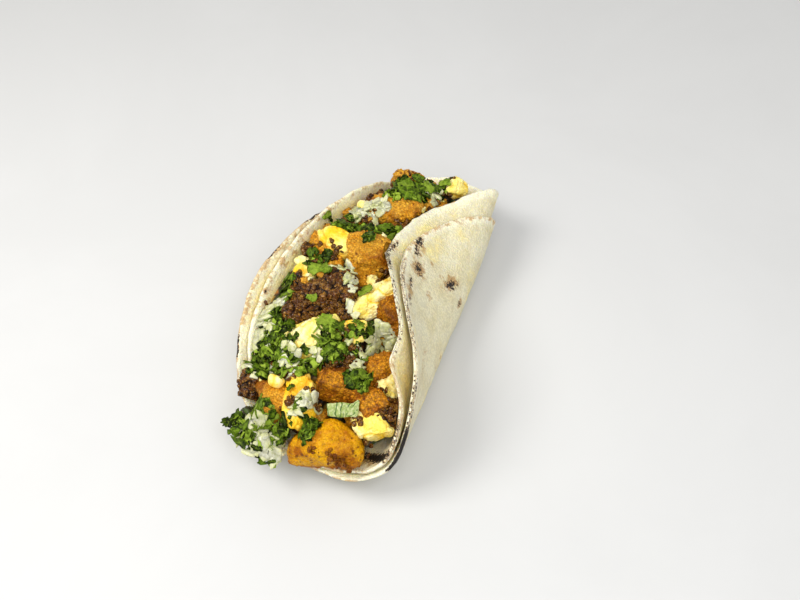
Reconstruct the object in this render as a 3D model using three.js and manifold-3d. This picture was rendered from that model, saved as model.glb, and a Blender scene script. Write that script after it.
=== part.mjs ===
// A filled taco: two corn tortillas, one inside the other, folded together and tipped to one
// side, holding fried potato, scrambled egg, crumbled sausage, diced onion and chopped coriander.
// Millimetres, +Z up. The fold runs along Y. The low wall leans out towards -X, and the high
// wall stands on the +X side and curls back over the filling.
import * as THREE from "three";
import { mergeVertices } from "three/addons/utils/BufferGeometryUtils.js";
import Module from "manifold-3d";

const wasm = await Module();
wasm.setup();

// ---------------------------------------------------------------- sizes
const thickness = 2.0;          // one tortilla
const sheetGap = 0.9;           // air between the two tortillas
const clearance = 0.35;         // air between any two pieces of food
const rimRoom = 0.7;            // air between a tortilla's rim and any food beside it
const restGap = 0.9;            // air between the filling and the inner tortilla
const roundFit = 0.795;         // a twenty-sided solid's inner radius over its outer one
const sliver = 0.22;            // flats that differ by less than this are joined into one
const fillingSliver = 0.5;      // the same for the filling, whose cut faces are many and small
const touching = 1e-6;          // solids that share less volume than this don't meet

// Both walls turn away from a flat bottom. The turn is a full angle in radians, reached over
// a width across the fold, and both change with s, the place along the fold from -1 to 1.
const fold = {
  reach: 75,                    // s = y / reach
  middleX: 3,
  low: { start: 14, turn: [1.05, 0.36, 0], width: [28, 9, -9] },
  high: { start: 4, turn: [2.14, 0.92, 0], width: [47, 7, 0] },
  lift: 12.7,                   // the ends of the fold rise by this much
  flatPart: 0.25,               // share of the reach that lies flat
  step: 0.5,                    // the wall's curve is followed in steps of this length
};

// y and t are the centre of each round tortilla, along the fold and across it
const outerTortilla = {
  y: 1.2, t: 1.4, halfLength: 73, halfWidth: 74.3, lines: 11, phase: 0.4,
  bumps: [{ y: -38, spread: 15, high: -1.8 }],
};
const innerTortilla = {
  y: 7.3, t: 4.3, halfLength: 78.2, halfWidth: 75, lines: 11, phase: 2.1,
  bumps: [{ y: -37, spread: 9, high: 6.4 }, { y: 14, spread: 10, high: 3.0 }],
};
// The walls ripple towards their rims: not at all at t = from, fully at t = full
const ripple = { from: 42, full: 74, high: 0.8, length: 70, phase: 0.9 };
const rimWear = { share: 0.012, length: 56 };   // how far the rim strays from a true circle

// Mesh lines across the fold: an even step, with closer ones at the rims, as shares of halfWidth
const meshLines = { step: 6.4, evenShare: 0.93, rimShares: [0.965, 0.996], underFold: -5 };

// lowShare and highShare: how far up each wall the filling reaches, the low one from near end to
// far end; dome: how far it swells above a straight line between its sides; both are less over
// the last endPart of the length
const heap = {
  from: -58, to: 74, stations: 11, across: 10, lowShare: [0.93, 0.74], highShare: 0.6,
  dome: [6.5, 9.5], domePower: 0.7, endPart: 0.14, endDome: 4, endShrink: 0.6,
  roughness: 0.9, seed: 5,
};

// size: length, width, height; turn: roll, pitch and yaw in degrees; detail: fineness of the
// mesh; power: 2 is an egg shape, and more is squarer; rough: depth of the crags
const potatoes = {
  potato_front: { at: [5, -64, 21.5], size: [30, 18, 19], turn: [0, 4, 16], detail: 3, seed: 11 },
  potato_top: { at: [-10, 14, 38], size: [20, 17, 17], turn: [-6, 0, 27], detail: 3, seed: 12 },
  potato_middle: { at: [4, -43, 32], size: [22, 14, 14], turn: [0, 8, 10], detail: 2, seed: 13 },
  potato_wall_side: { at: [14, -33, 33], size: [12, 12, 12], turn: [5, 0, 30], detail: 2, seed: 14 },
  potato_lower: { at: [16, -46, 28], size: [12, 12, 12], turn: [10, -8, 50], detail: 2, seed: 15 },
  potato_left: { at: [-19, -57, 25.5], size: [15, 14, 13], turn: [0, 10, 35], detail: 2, seed: 16 },
  potato_far: { at: [-12, 45, 33.5], size: [23, 13, 13], turn: [0, -5, 8], detail: 2, seed: 17 },
  potato_far_tip: { at: [-14, 65, 32], size: [13, 12, 14], turn: [8, 0, 40], detail: 2, seed: 18 },
  potato_shaded: { at: [12, -8, 37], size: [15, 14, 13], turn: [0, 5, 65], detail: 2, seed: 19 },
};
const eggs = {
  egg_curd_long: { at: [1, -4, 38], size: [26, 12, 12], turn: [0, -6, 62], detail: 2, seed: 31 },
  egg_wedge: { at: [-15.5, -29, 37.5], size: [22, 16, 12], turn: [8, -6, 48], detail: 2, seed: 32 },
  egg_bright: { at: [-24.5, 15, 37], size: [17, 15, 14], turn: [0, 0, 30], detail: 2, seed: 33 },
  egg_left_drop: { at: [-10, -54, 29.5], size: [25, 13, 12], turn: [0, -22, 108], detail: 2, seed: 34 },
  egg_point: { at: [20.5, -53, 25], size: [20, 14, 12], turn: [0, 12, 8], detail: 2, seed: 35 },
  egg_small: { at: [0, -24.5, 38], size: [11, 9, 9], turn: [0, 0, 20], detail: 1, seed: 36 },
  egg_edge: { at: [-32, -3, 37], size: [9, 9, 9], turn: [0, 0, 20], detail: 1, seed: 37 },
  egg_bean: { at: [-21, -53, 33], size: [7, 6, 5], turn: [0, 0, 10], detail: 1, seed: 38 },
  egg_under_wall: { at: [18, -37, 30], size: [11, 10, 10], turn: [0, 0, 0], detail: 1, seed: 39 },
  egg_far: { at: [6, 74, 29.5], size: [12, 10, 10], turn: [0, 0, 30], detail: 1, seed: 40 },
};
const sausages = {
  sausage_clump: { at: [-20, -14, 37.5], size: [33, 18, 14], turn: [0, -3, 46], detail: 2, seed: 51 },
  sausage_rim: { at: [-31, -54, 26.5], size: [11, 10, 11], turn: [0, 0, 0], detail: 2, seed: 52 },
  sausage_middle: { at: [-1, -36, 36], size: [16, 11, 9], turn: [0, 0, 25], detail: 2, seed: 53 },
  sausage_under_wall: { at: [24, -46, 26.5], size: [13, 11, 11], turn: [0, 0, 0], detail: 1, seed: 54 },
};
const kinds = {
  potato: { color: 0xd8923a, roughness: 0.55, power: 4.5, rough: 0.02, waves: 3 },
  egg: { color: 0xf6e08a, roughness: 0.5, power: 2.8, rough: 0.08, waves: 3.8 },
  sausage: { color: 0x5c2f1b, roughness: 0.6, power: 2.6, rough: 0.08, waves: 9 },
};
const wavesOnEach = 5;
const squarePower = 3;          // kinds with a higher power are boxy

// Small toppings lie in patches: at and spread are a patch's middle and half size, in x and y
const patches = [
  { kind: "onion", at: [-33, -29], spread: [5, 9], count: 5 },
  { kind: "onion", at: [-12, -5], spread: [5, 6], count: 3 },
  { kind: "onion", at: [9, -20], spread: [6, 6], count: 4 },
  { kind: "onion", at: [-4, -57], spread: [5, 4], count: 3 },
  { kind: "onion", at: [-29, -44], spread: [3, 3], count: 2 },
  { kind: "onion", at: [-19, 33], spread: [6, 4], count: 3 },
  { kind: "onion", at: [-2, 61], spread: [4, 4], count: 2 },
  { kind: "onion", at: [-4, -14], spread: [4, 4], count: 2 },
  { kind: "strip", at: [8, -54], spread: [1, 1], count: 1 },
  { kind: "leaf", at: [-27, -38], spread: [8, 6], count: 4 },
  { kind: "leaf", at: [-37, -10], spread: [2, 6], count: 2 },
  { kind: "leaf", at: [-9, -33], spread: [6, 9], count: 4 },
  { kind: "leaf", at: [7, -37], spread: [4, 4], count: 3 },
  { kind: "leaf", at: [6, -20], spread: [5, 4], count: 2 },
  { kind: "leaf", at: [-17, 25], spread: [9, 5], count: 4 },
  { kind: "leaf", at: [-4, -5], spread: [1, 1], count: 1 },
  { kind: "leaf", at: [-30, 1], spread: [5, 4], count: 2 },
  { kind: "leaf", at: [-12, 54], spread: [8, 6], count: 3 },
  { kind: "leaf", at: [-5, -62], spread: [4, 4], count: 2 },
  { kind: "leaf", at: [-19, -64], spread: [5, 4], count: 2 },
  { kind: "crumb", at: [-30, 9], spread: [6, 5], count: 2 },
  { kind: "crumb", at: [-3, -29], spread: [6, 5], count: 2 },
  { kind: "crumb", at: [-22, -45], spread: [7, 4], count: 2 },
  { kind: "crumb", at: [-9, -57], spread: [4, 3], count: 2 },
  { kind: "crumb", at: [12, -48], spread: [6, 6], count: 2 },
];
const patchSeed = 2024;
// sunk: how far the topping's middle is below a place half its height above the food;
// tilt: the most it leans at random, as a slope; uneven: how much its corners stray
const toppings = {
  onion: { length: [5, 8], width: [3.5, 5.5], height: 1.6, sunk: 0.45, tilt: 0.25, uneven: 0.12 },
  strip: { length: [14, 14], width: [6, 6], height: 1.4, sunk: 0.4, tilt: 0.05, uneven: 0.12 },
  leaf: { length: [5.5, 11], width: [4, 7], height: 0.7, sunk: 0.15, tilt: 0.22, uneven: 0.12 },
  crumb: { length: [2.6, 4.2], width: [2.2, 3.6], height: 2.4, sunk: 0.85, tilt: 0.25, uneven: 0.17 },
};
const followShare = 0.75;       // a topping leans this much of the way with the food under it
const keptShare = 0.55;         // a topping that is cut back further than this is left off
const diceCorner = 1.25;        // half length of a diced piece to its corner
const leafShape = { sides: 6, tip: [0.9, 1.1], notch: [0.5, 0.7], curl: 1.1, turns: 2.2, rise: 0.3 };

// The herbs and onion that spill over the near low rim, as a small heap with its own core
const spill = {
  core: { at: [-22.5, -68, 17.5], size: [29, 15, 8], turn: [24, 14, -27], detail: 2, seed: 71 },
  onions: 4, leaves: 6, spread: [12, 7], seed: 77,
};

// ---------------------------------------------------------------- plain helpers
const degrees = Math.PI / 180;

// A repeatable stream of numbers from 0 to 1
function seeded(seed) {
  let state = seed >>> 0;
  return () => {
    state = (state + 0x6d2b79f5) >>> 0;
    let mixed = Math.imul(state ^ (state >>> 15), 1 | state);
    mixed = (mixed + Math.imul(mixed ^ (mixed >>> 7), 61 | mixed)) ^ mixed;
    return ((mixed ^ (mixed >>> 14)) >>> 0) / 4294967296;
  };
}

const between = (low, high, share) => low + (high - low) * share;
const quadratic = (terms, s) => terms[0] + terms[1] * s + terms[2] * s * s;

function eased(share) {
  const held = Math.min(Math.max(share, 0), 1);
  return held * held * (3 - 2 * held);
}

function bareGeometry(positions, index) {
  const geometry = new THREE.BufferGeometry();
  geometry.setAttribute("position", new THREE.Float32BufferAttribute(positions, 3));
  geometry.setIndex(index);
  return geometry;
}

function toManifold(geometry) {
  const bare = new THREE.BufferGeometry();
  bare.setAttribute("position", geometry.getAttribute("position"));
  if (geometry.index) bare.setIndex(geometry.index);
  const merged = mergeVertices(bare, 1e-4);
  const mesh = new wasm.Mesh({
    numProp: 3,
    vertProperties: new Float32Array(merged.getAttribute("position").array),
    triVerts: new Uint32Array(merged.index.array),
  });
  return new wasm.Manifold(mesh);
}

function toGeometry(solid) {
  const mesh = solid.getMesh();
  const geometry = new THREE.BufferGeometry();
  geometry.setAttribute("position", new THREE.BufferAttribute(mesh.vertProperties, 3));
  geometry.setIndex(new THREE.BufferAttribute(mesh.triVerts, 1));
  geometry.computeVertexNormals();
  return geometry;
}

// ---------------------------------------------------------------- the folded surface
// Direction of the sheet at t, as an angle from +X: the low wall falls towards the fold and
// the high wall climbs away from it
function slope(t, s) {
  if (t >= 0) {
    const { start, turn, width } = fold.high;
    return quadratic(turn, s) * eased((t - start) / quadratic(width, s));
  }
  const { start, turn, width } = fold.low;
  return -quadratic(turn, s) * eased((-t - start) / quadratic(width, s));
}

// Point of the sheet at distance t across the fold and y along it, moved by an offset along
// its normal, which points into the taco
function foldPoint(t, y, offset) {
  const s = y / fold.reach;
  const rise = Math.max(0, Math.abs(s) - fold.flatPart) / (1 - fold.flatPart);
  const steps = Math.max(1, Math.ceil(Math.abs(t) / fold.step));
  const step = t / steps;
  let x = fold.middleX;
  let z = fold.lift * rise * rise;
  for (let i = 0; i < steps; i++) {
    const angle = slope((i + 0.5) * step, s);
    x += Math.cos(angle) * step;
    z += Math.sin(angle) * step;
  }
  const angle = slope(t, s);
  return [x - Math.sin(angle) * offset, y, z + Math.cos(angle) * offset];
}

function rimWave(tortilla, t, y) {
  const rim = eased((Math.abs(t) - ripple.from) / (ripple.full - ripple.from));
  let height = ripple.high * Math.sin((2 * Math.PI * y) / ripple.length + ripple.phase) * rim;
  if (t > 0) {
    for (const bump of tortilla.bumps) {
      height += bump.high * Math.exp(-(((y - bump.y) / bump.spread) ** 2)) * rim;
    }
  }
  return height;
}

// Mesh lines across the fold, shared by both tortillas so that their flats stay parallel
function crossLines(tortilla) {
  const { t, halfWidth } = tortilla;
  const { step, evenShare, rimShares, underFold } = meshLines;
  const lines = [-fold.low.start, underFold, fold.high.start];
  for (let line = fold.high.start + step; line < t + evenShare * halfWidth; line += step) {
    lines.push(line);
  }
  for (let line = -fold.low.start - step; line > t - evenShare * halfWidth; line -= step) {
    lines.push(line);
  }
  for (const share of rimShares) {
    lines.push(t + share * halfWidth, t - share * halfWidth);
  }
  return lines.sort((a, b) => a - b);
}

// A round sheet of even thickness, both faces split alike and closed along the rim
function foldedSheet(tortilla, offset, sheetThickness) {
  const lines = crossLines(tortilla);
  const across = lines.length;
  const along = tortilla.lines;
  const positions = [];
  for (const side of [-0.5, 0.5]) {
    for (const line of lines) {
      const share = (line - tortilla.t) / tortilla.halfWidth;
      const wear = Math.sin((2 * Math.PI * line) / rimWear.length + tortilla.phase);
      const unevenRim = 1 + rimWear.share * wear;
      const half = tortilla.halfLength * Math.sqrt(1 - share * share) * unevenRim;
      for (let k = 0; k <= along; k++) {
        const y = tortilla.y + half * ((2 * k) / along - 1);
        const lifted = offset + side * sheetThickness + rimWave(tortilla, line, y);
        positions.push(...foldPoint(line, y, lifted));
      }
    }
  }
  const layer = across * (along + 1);
  const corner = (side, i, k) => side * layer + i * (along + 1) + k;
  const index = [];
  for (let i = 0; i + 1 < across; i++) {
    for (let k = 0; k < along; k++) {
      const [a, b] = [corner(0, i, k), corner(0, i, k + 1)];
      const [c, d] = [corner(0, i + 1, k + 1), corner(0, i + 1, k)];
      index.push(a, b, c, a, c, d);
      index.push(a + layer, c + layer, b + layer, a + layer, d + layer, c + layer);
    }
  }
  const rim = [];
  for (let i = 0; i < across - 1; i++) rim.push(corner(0, i, 0));
  for (let k = 0; k < along; k++) rim.push(corner(0, across - 1, k));
  for (let i = across - 1; i > 0; i--) rim.push(corner(0, i, along));
  for (let k = along; k > 0; k--) rim.push(corner(0, 0, k));
  for (let i = 0; i < rim.length; i++) {
    const a = rim[i];
    const b = rim[(i + 1) % rim.length];
    index.push(a, b, b + layer, a, b + layer, a + layer);
  }
  return bareGeometry(positions, index);
}

// ---------------------------------------------------------------- pieces of food
function placeOf(piece) {
  const [roll, pitch, yaw] = piece.turn.map((angle) => angle * degrees);
  const place = new THREE.Matrix4().makeRotationFromEuler(new THREE.Euler(roll, pitch, yaw, "ZYX"));
  return place.setPosition(...piece.at);
}

// A lump: a ball pushed out towards a box, with crags made of crossing sine waves
function lump(piece, kind, grow) {
  const random = seeded(piece.seed);
  const waves = Array.from({ length: wavesOnEach }, () => ({
    axis: new THREE.Vector3(random() - 0.5, random() - 0.5, random() - 0.5).normalize(),
    pace: kind.waves * between(0.7, 1.5, random()),
    phase: random() * 2 * Math.PI,
  }));
  const ball = new THREE.IcosahedronGeometry(1, piece.detail);
  const corners = ball.getAttribute("position");
  const way = new THREE.Vector3();
  const half = new THREE.Vector3(...piece.size).multiplyScalar(0.5).addScalar(grow);
  for (let i = 0; i < corners.count; i++) {
    way.fromBufferAttribute(corners, i).normalize();
    const sum = ["x", "y", "z"].reduce((total, k) => total + Math.abs(way[k]) ** kind.power, 0);
    let radius = sum ** (-1 / kind.power);
    for (const wave of waves) {
      radius *= 1 + kind.rough * Math.sin(way.dot(wave.axis) * wave.pace + wave.phase);
    }
    way.multiplyScalar(radius).multiply(half);
    corners.setXYZ(i, way.x, way.y, way.z);
  }
  return toManifold(ball.applyMatrix4(placeOf(piece)));
}

// A hollow that takes a whole lump: a box for squarish ones, otherwise twenty flats round it
function pocketFor(piece, kind) {
  const square = kind.power > squarePower;
  const crags = 1 + kind.rough * 2;
  const room = square ? crags : crags / roundFit;
  const half = new THREE.Vector3(...piece.size).multiplyScalar(0.5 * room).addScalar(2 * clearance);
  const shape = square ? new THREE.BoxGeometry(2, 2, 2) : new THREE.IcosahedronGeometry(1, 0);
  shape.scale(half.x, half.y, half.z).applyMatrix4(placeOf(piece));
  return toManifold(shape);
}

// The mixed filling under the pieces: a loft whose bottom follows the inner tortilla
function heapCore() {
  const random = seeded(heap.seed);
  const base = thickness * 2 + sheetGap + restGap;
  const across = heap.across;
  const positions = [];
  const ring = 2 * across;
  for (let j = 0; j < heap.stations; j++) {
    const share = j / (heap.stations - 1);
    const y = between(heap.from, heap.to, share);
    const along = (y - innerTortilla.y) / innerTortilla.halfLength;
    const halfChord = innerTortilla.halfWidth * Math.sqrt(1 - along * along);
    const end = eased(Math.min(share, 1 - share) / heap.endPart);
    const tLow = -halfChord * between(...heap.lowShare, share) * between(heap.endShrink, 1, end);
    const tHigh = halfChord * heap.highShare * between(heap.endShrink, 1, end);
    const low = foldPoint(tLow, y, base);
    const high = foldPoint(tHigh, y, base);
    const dome = between(heap.endDome, between(...heap.dome, share), end);
    for (let k = 0; k < across; k++) {
      positions.push(...foldPoint(between(tLow, tHigh, k / across), y, base));
    }
    for (let k = 0; k < across; k++) {
      const back = k / across;
      const swell = dome * Math.sin(Math.PI * back) ** heap.domePower;
      const rough = k > 0 ? heap.roughness * (random() * 2 - 1) : 0;
      positions.push(between(high[0], low[0], back), y, between(high[2], low[2], back) + swell + rough);
    }
  }
  const index = [];
  for (let j = 0; j + 1 < heap.stations; j++) {
    for (let k = 0; k < ring; k++) {
      const next = (k + 1) % ring;
      const [a, b] = [j * ring + k, j * ring + next];
      index.push(a, b + ring, b, a, a + ring, b + ring);
    }
  }
  for (const j of [0, heap.stations - 1]) {
    const first = j * ring;
    const middle = new THREE.Vector3();
    for (let k = 0; k < ring; k++) {
      middle.add(new THREE.Vector3().fromArray(positions, (first + k) * 3));
    }
    middle.divideScalar(ring);
    const centre = positions.length / 3;
    positions.push(middle.x, middle.y, middle.z);
    for (let k = 0; k < ring; k++) {
      const next = (k + 1) % ring;
      if (j === 0) index.push(centre, first + k, first + next);
      else index.push(centre, first + next, first + k);
    }
  }
  return toManifold(bareGeometry(positions, index));
}

// Two copies of a closed outline, one above the other, with the rim between them. Outline
// corners are numbered from 0 on the lower face, and from outline.length on the upper one.
function slab(outline, height) {
  const positions = [];
  for (const side of [-0.5, 0.5]) {
    for (const [x, y, bend] of outline) positions.push(x, y, bend + side * height);
  }
  const sides = outline.length;
  const index = [];
  for (let k = 0; k < sides; k++) {
    const next = (k + 1) % sides;
    index.push(k, next, next + sides, k, next + sides, k + sides);
  }
  return { positions, index };
}

// A flat four-sided piece, as of diced onion
function dice(length, width, sizes, random) {
  const outline = [45, 135, 225, 315].map((angle) => {
    const stray = () => 1 + sizes.uneven * (2 * random() - 1);
    const x = Math.cos(angle * degrees) * diceCorner * stray() * length * 0.5;
    return [x, Math.sin(angle * degrees) * diceCorner * stray() * width * 0.5, 0];
  });
  const { positions, index } = slab(outline, sizes.height);
  index.push(0, 2, 1, 0, 3, 2, 4, 5, 6, 4, 6, 7);
  return bareGeometry(positions, index);
}

// A thin wavy leaf: tips and notches by turns round a raised middle, both faces split alike
function leaf(length, width, sizes, random) {
  const { sides, tip, notch, curl, turns, rise } = leafShape;
  const outline = Array.from({ length: sides }, (_, k) => {
    const angle = (k / sides) * 2 * Math.PI;
    const lobe = between(...(k % 2 ? notch : tip), random());
    const stray = () => 1 + sizes.uneven * (2 * random() - 1);
    const x = Math.cos(angle) * lobe * stray() * length * 0.5;
    const y = Math.sin(angle) * lobe * stray() * width * 0.5;
    return [x, y, sizes.height * curl * Math.sin(k * turns + random())];
  });
  const { positions, index } = slab(outline, sizes.height);
  for (const side of [-0.5, 0.5]) positions.push(0, 0, (side + rise) * sizes.height);
  const under = 2 * sides;
  const over = under + 1;
  for (let k = 0; k < sides; k++) {
    const next = (k + 1) % sides;
    index.push(under, next, k, over, k + sides, next + sides);
  }
  return bareGeometry(positions, index);
}

function crumb(length, width, sizes, random) {
  const ball = new THREE.IcosahedronGeometry(0.5, 0).deleteAttribute("uv").deleteAttribute("normal");
  const geometry = mergeVertices(ball);
  const corners = geometry.getAttribute("position");
  for (let i = 0; i < corners.count; i++) {
    const stray = 1 + sizes.uneven * (2 * random() - 1);
    corners.setXYZ(i, corners.getX(i) * stray, corners.getY(i) * stray, corners.getZ(i) * stray);
  }
  return geometry.scale(length, width, sizes.height);
}

const shapes = { onion: dice, strip: dice, leaf, crumb };

// ---------------------------------------------------------------- building
const outer = foldedSheet(outerTortilla, thickness / 2, thickness);
const innerOffset = thickness * 1.5 + sheetGap;
const inner = foldedSheet(innerTortilla, innerOffset, thickness);
const keepOff = [[outerTortilla, thickness / 2], [innerTortilla, innerOffset]].map(
  ([tortilla, offset]) => {
    const halfLength = tortilla.halfLength + rimRoom;
    const halfWidth = tortilla.halfWidth + rimRoom;
    const swollen = { ...tortilla, halfLength, halfWidth };
    return toManifold(foldedSheet(swollen, offset, thickness + 2 * clearance));
  },
);

function largestPiece(solid) {
  const parts = solid.decompose();
  return parts.reduce((best, part) => (part.volume() > best.volume() ? part : best), parts[0]);
}

// Takes away only what really cuts into the solid, so that untouched faces stay whole
function cutBack(solid, others) {
  let left = solid;
  for (const other of others) {
    if (left.intersect(other).volume() > touching) left = left.subtract(other);
  }
  if (left === solid) return solid;
  return left.isEmpty() ? null : largestPiece(left);
}

// Larger pieces come first and later ones are cut back to stay clear of them
const solids = new Map();
const grownSolids = new Map();
const order = [
  "potato_front", "potato_top", "egg_curd_long", "egg_wedge", "sausage_clump", "egg_bright",
  "potato_middle", "egg_left_drop", "egg_point", "potato_lower", "potato_wall_side",
  "potato_left", "sausage_rim", "sausage_middle", "sausage_under_wall", "potato_shaded",
  "egg_small", "egg_under_wall", "egg_edge", "potato_far", "potato_far_tip", "egg_far",
  "egg_bean", "herb_spill",
];
const pieces = { ...potatoes, ...eggs, ...sausages, herb_spill: spill.core };
const kindOf = (name) => kinds[name.split("_")[0]] ?? kinds.egg;
for (const name of order) {
  solids.set(name, cutBack(lump(pieces[name], kindOf(name), 0), [...keepOff, ...grownSolids.values()]));
  grownSolids.set(name, lump(pieces[name], kindOf(name), clearance));
}

// Plain pockets hold the larger pieces; the finer shapes then cut only what is left
const pockets = order.map((name) => pocketFor(pieces[name], kindOf(name)));
solids.set("filling", cutBack(heapCore(), [...pockets, ...keepOff, ...grownSolids.values()]));

// Highest point of any piece under a place on the plan, with the face's normal
function landing(x, y) {
  let best = null;
  for (const [name, faces] of landingFaces) {
    for (const face of faces) {
      if (x < face.box.min.x || x > face.box.max.x || y < face.box.min.y || y > face.box.max.y) {
        continue;
      }
      const { a, b, c } = face.triangle;
      const area = (b.x - a.x) * (c.y - a.y) - (c.x - a.x) * (b.y - a.y);
      if (area < touching) continue;
      const u = ((b.x - x) * (c.y - y) - (c.x - x) * (b.y - y)) / area;
      const v = ((c.x - x) * (a.y - y) - (a.x - x) * (c.y - y)) / area;
      if (u < 0 || v < 0 || u + v > 1) continue;
      const z = u * a.z + v * b.z + (1 - u - v) * c.z;
      if (!best || z > best.z) best = { name, z, normal: face.normal };
    }
  }
  return best;
}

function facesOf(solid) {
  const geometry = toGeometry(solid);
  const points = geometry.getAttribute("position");
  const faces = [];
  for (let i = 0; i < geometry.index.count; i += 3) {
    const corners = [0, 1, 2].map((k) => (
      new THREE.Vector3().fromBufferAttribute(points, geometry.index.getX(i + k))));
    const triangle = new THREE.Triangle(...corners);
    faces.push({
      triangle,
      box: new THREE.Box3().setFromPoints(corners),
      normal: triangle.getNormal(new THREE.Vector3()),
    });
  }
  return faces;
}
const landingFaces = new Map([...solids].map(([name, solid]) => [name, facesOf(solid)]));

// A small topping laid on what is below it, tilted partly with the face it lies on
function topping(kind, x, y, random) {
  const spot = landing(x, y);
  if (!spot) return null;
  const sizes = toppings[kind];
  const length = between(...sizes.length, random());
  const width = between(...sizes.width, random());
  const shape = shapes[kind](length, width, sizes, random);
  const up = new THREE.Vector3(0, 0, 1);
  const facing = up.clone().lerp(spot.normal, followShare);
  facing.x += sizes.tilt * (2 * random() - 1);
  facing.y += sizes.tilt * (2 * random() - 1);
  const turn = new THREE.Quaternion().setFromUnitVectors(up, facing.normalize());
  turn.multiply(new THREE.Quaternion().setFromAxisAngle(up, random() * 2 * Math.PI));
  const lift = sizes.height * 0.5 - sizes.sunk;
  const centre = new THREE.Vector3(x, y, spot.z).addScaledVector(facing, lift);
  const one = new THREE.Vector3(1, 1, 1);
  shape.applyMatrix4(new THREE.Matrix4().compose(centre, turn, one));
  const grown = shape.clone();
  const swell = 1 + (2 * clearance) / Math.min(length, width);
  grown.translate(-centre.x, -centre.y, -centre.z).scale(swell, swell, 1)
    .translate(centre.x, centre.y, centre.z);
  return { host: spot.name, solid: toManifold(shape), grown: toManifold(grown) };
}

const laid = [];
function layTopping(kind, x, y, random) {
  const made = topping(kind, x, y, random);
  if (!made) return;
  const others = [...keepOff];
  for (const [name, grown] of grownSolids) {
    if (name !== made.host) others.push(grown);
  }
  for (const earlier of laid) {
    if (earlier.host !== made.host) others.push(earlier.grown);
  }
  if (made.host !== "filling") others.push(fillingGrown);
  const cut = cutBack(made.solid, others);
  if (!cut || cut.volume() < keptShare * made.solid.volume()) return;
  const joined = solids.get(made.host).add(cut);
  if (joined.decompose().length > 1) return;
  solids.set(made.host, joined);
  laid.push(made);
}

const fillingGrown = toManifold(toGeometry(solids.get("filling")).translate(0, 0, clearance));
const random = seeded(patchSeed);
for (const patch of patches) {
  for (let i = 0; i < patch.count; i++) {
    const x = patch.at[0] + patch.spread[0] * (2 * random() - 1);
    const y = patch.at[1] + patch.spread[1] * (2 * random() - 1);
    layTopping(patch.kind, x, y, random);
  }
}
const spillRandom = seeded(spill.seed);
for (let i = 0; i < spill.onions + spill.leaves; i++) {
  const kind = i < spill.onions ? "onion" : "leaf";
  const x = spill.core.at[0] + spill.spread[0] * (2 * spillRandom() - 1);
  const y = spill.core.at[1] + spill.spread[1] * (2 * spillRandom() - 1);
  layTopping(kind, x, y, spillRandom);
}

// ---------------------------------------------------------------- the finished group
const colours = {
  tortilla: { color: 0xe9ddb5, roughness: 0.8 },
  filling: { color: 0xcfa65a, roughness: 0.6 },
  herb: { color: 0x5f8f35, roughness: 0.6 },
  ...kinds,
};
const geometries = new Map([["tortilla_outer", outer], ["tortilla_inner", inner]]);
for (const [name, solid] of solids) {
  const least = name === "filling" ? fillingSliver : sliver;
  geometries.set(name, toGeometry(largestPiece(solid.simplify(least))));
}

// The origin is the middle of the bottom of the whole taco's box
const box = new THREE.Box3();
for (const geometry of geometries.values()) {
  geometry.computeBoundingBox();
  box.union(geometry.boundingBox);
}
const middle = box.getCenter(new THREE.Vector3());
const taco = new THREE.Group();
taco.name = "taco";
for (const [name, geometry] of geometries) {
  geometry.translate(-middle.x, -middle.y, -box.min.z);
  geometry.computeVertexNormals();
  const { color, roughness } = colours[name.split("_")[0]];
  const material = new THREE.MeshStandardMaterial({ color, roughness, metalness: 0 });
  material.name = `${name}_finish`;
  const mesh = new THREE.Mesh(geometry, material);
  mesh.name = name;
  taco.add(mesh);
}

export default taco;
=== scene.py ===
import itertools
import math

import bpy
import numpy as np
from mathutils import Matrix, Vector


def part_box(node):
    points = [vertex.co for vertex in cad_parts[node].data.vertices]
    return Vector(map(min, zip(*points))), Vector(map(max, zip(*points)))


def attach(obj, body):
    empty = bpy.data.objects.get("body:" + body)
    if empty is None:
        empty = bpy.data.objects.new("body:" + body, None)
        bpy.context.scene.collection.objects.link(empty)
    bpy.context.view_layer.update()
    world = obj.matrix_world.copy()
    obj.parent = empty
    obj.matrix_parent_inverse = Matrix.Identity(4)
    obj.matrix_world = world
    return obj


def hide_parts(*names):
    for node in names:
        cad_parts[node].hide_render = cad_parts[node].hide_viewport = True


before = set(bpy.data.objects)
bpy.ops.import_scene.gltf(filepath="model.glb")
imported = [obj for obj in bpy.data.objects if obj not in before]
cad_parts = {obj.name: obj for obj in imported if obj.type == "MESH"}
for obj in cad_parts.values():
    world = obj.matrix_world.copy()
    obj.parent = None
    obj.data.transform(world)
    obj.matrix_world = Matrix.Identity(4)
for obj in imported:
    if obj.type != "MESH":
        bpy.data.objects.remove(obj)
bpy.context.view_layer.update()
print("frame loaded")

mm = 0.001  # everything below is worked out in millimetres


# small helpers for noise and grids

def eased(value):
    # 0 below 0, 1 above 1, and a smooth s between
    held = np.clip(value, 0, 1)
    return held * held * (3 - 2 * held)


hashing = {"primes": (73856093, 19349663, 83492791), "seedPrime": 2654435761, "mixer": 0x45D9F3B,
           "top": 0xFFFFFFFF}


def hashed(lattice, seed):
    # an even random number from 0 to 1 for each whole-number place: its numbers times large primes,
    # mixed with the seed bit by bit
    a, b, c = (lattice[..., k] * prime for k, prime in enumerate(hashing["primes"]))
    mixed = (a ^ b ^ c ^ (seed * hashing["seedPrime"])) & hashing["top"]
    for _ in range(2):
        mixed = ((mixed ^ (mixed >> 16)) * hashing["mixer"]) & hashing["top"]
    return (mixed ^ (mixed >> 16)) / hashing["top"]


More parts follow.
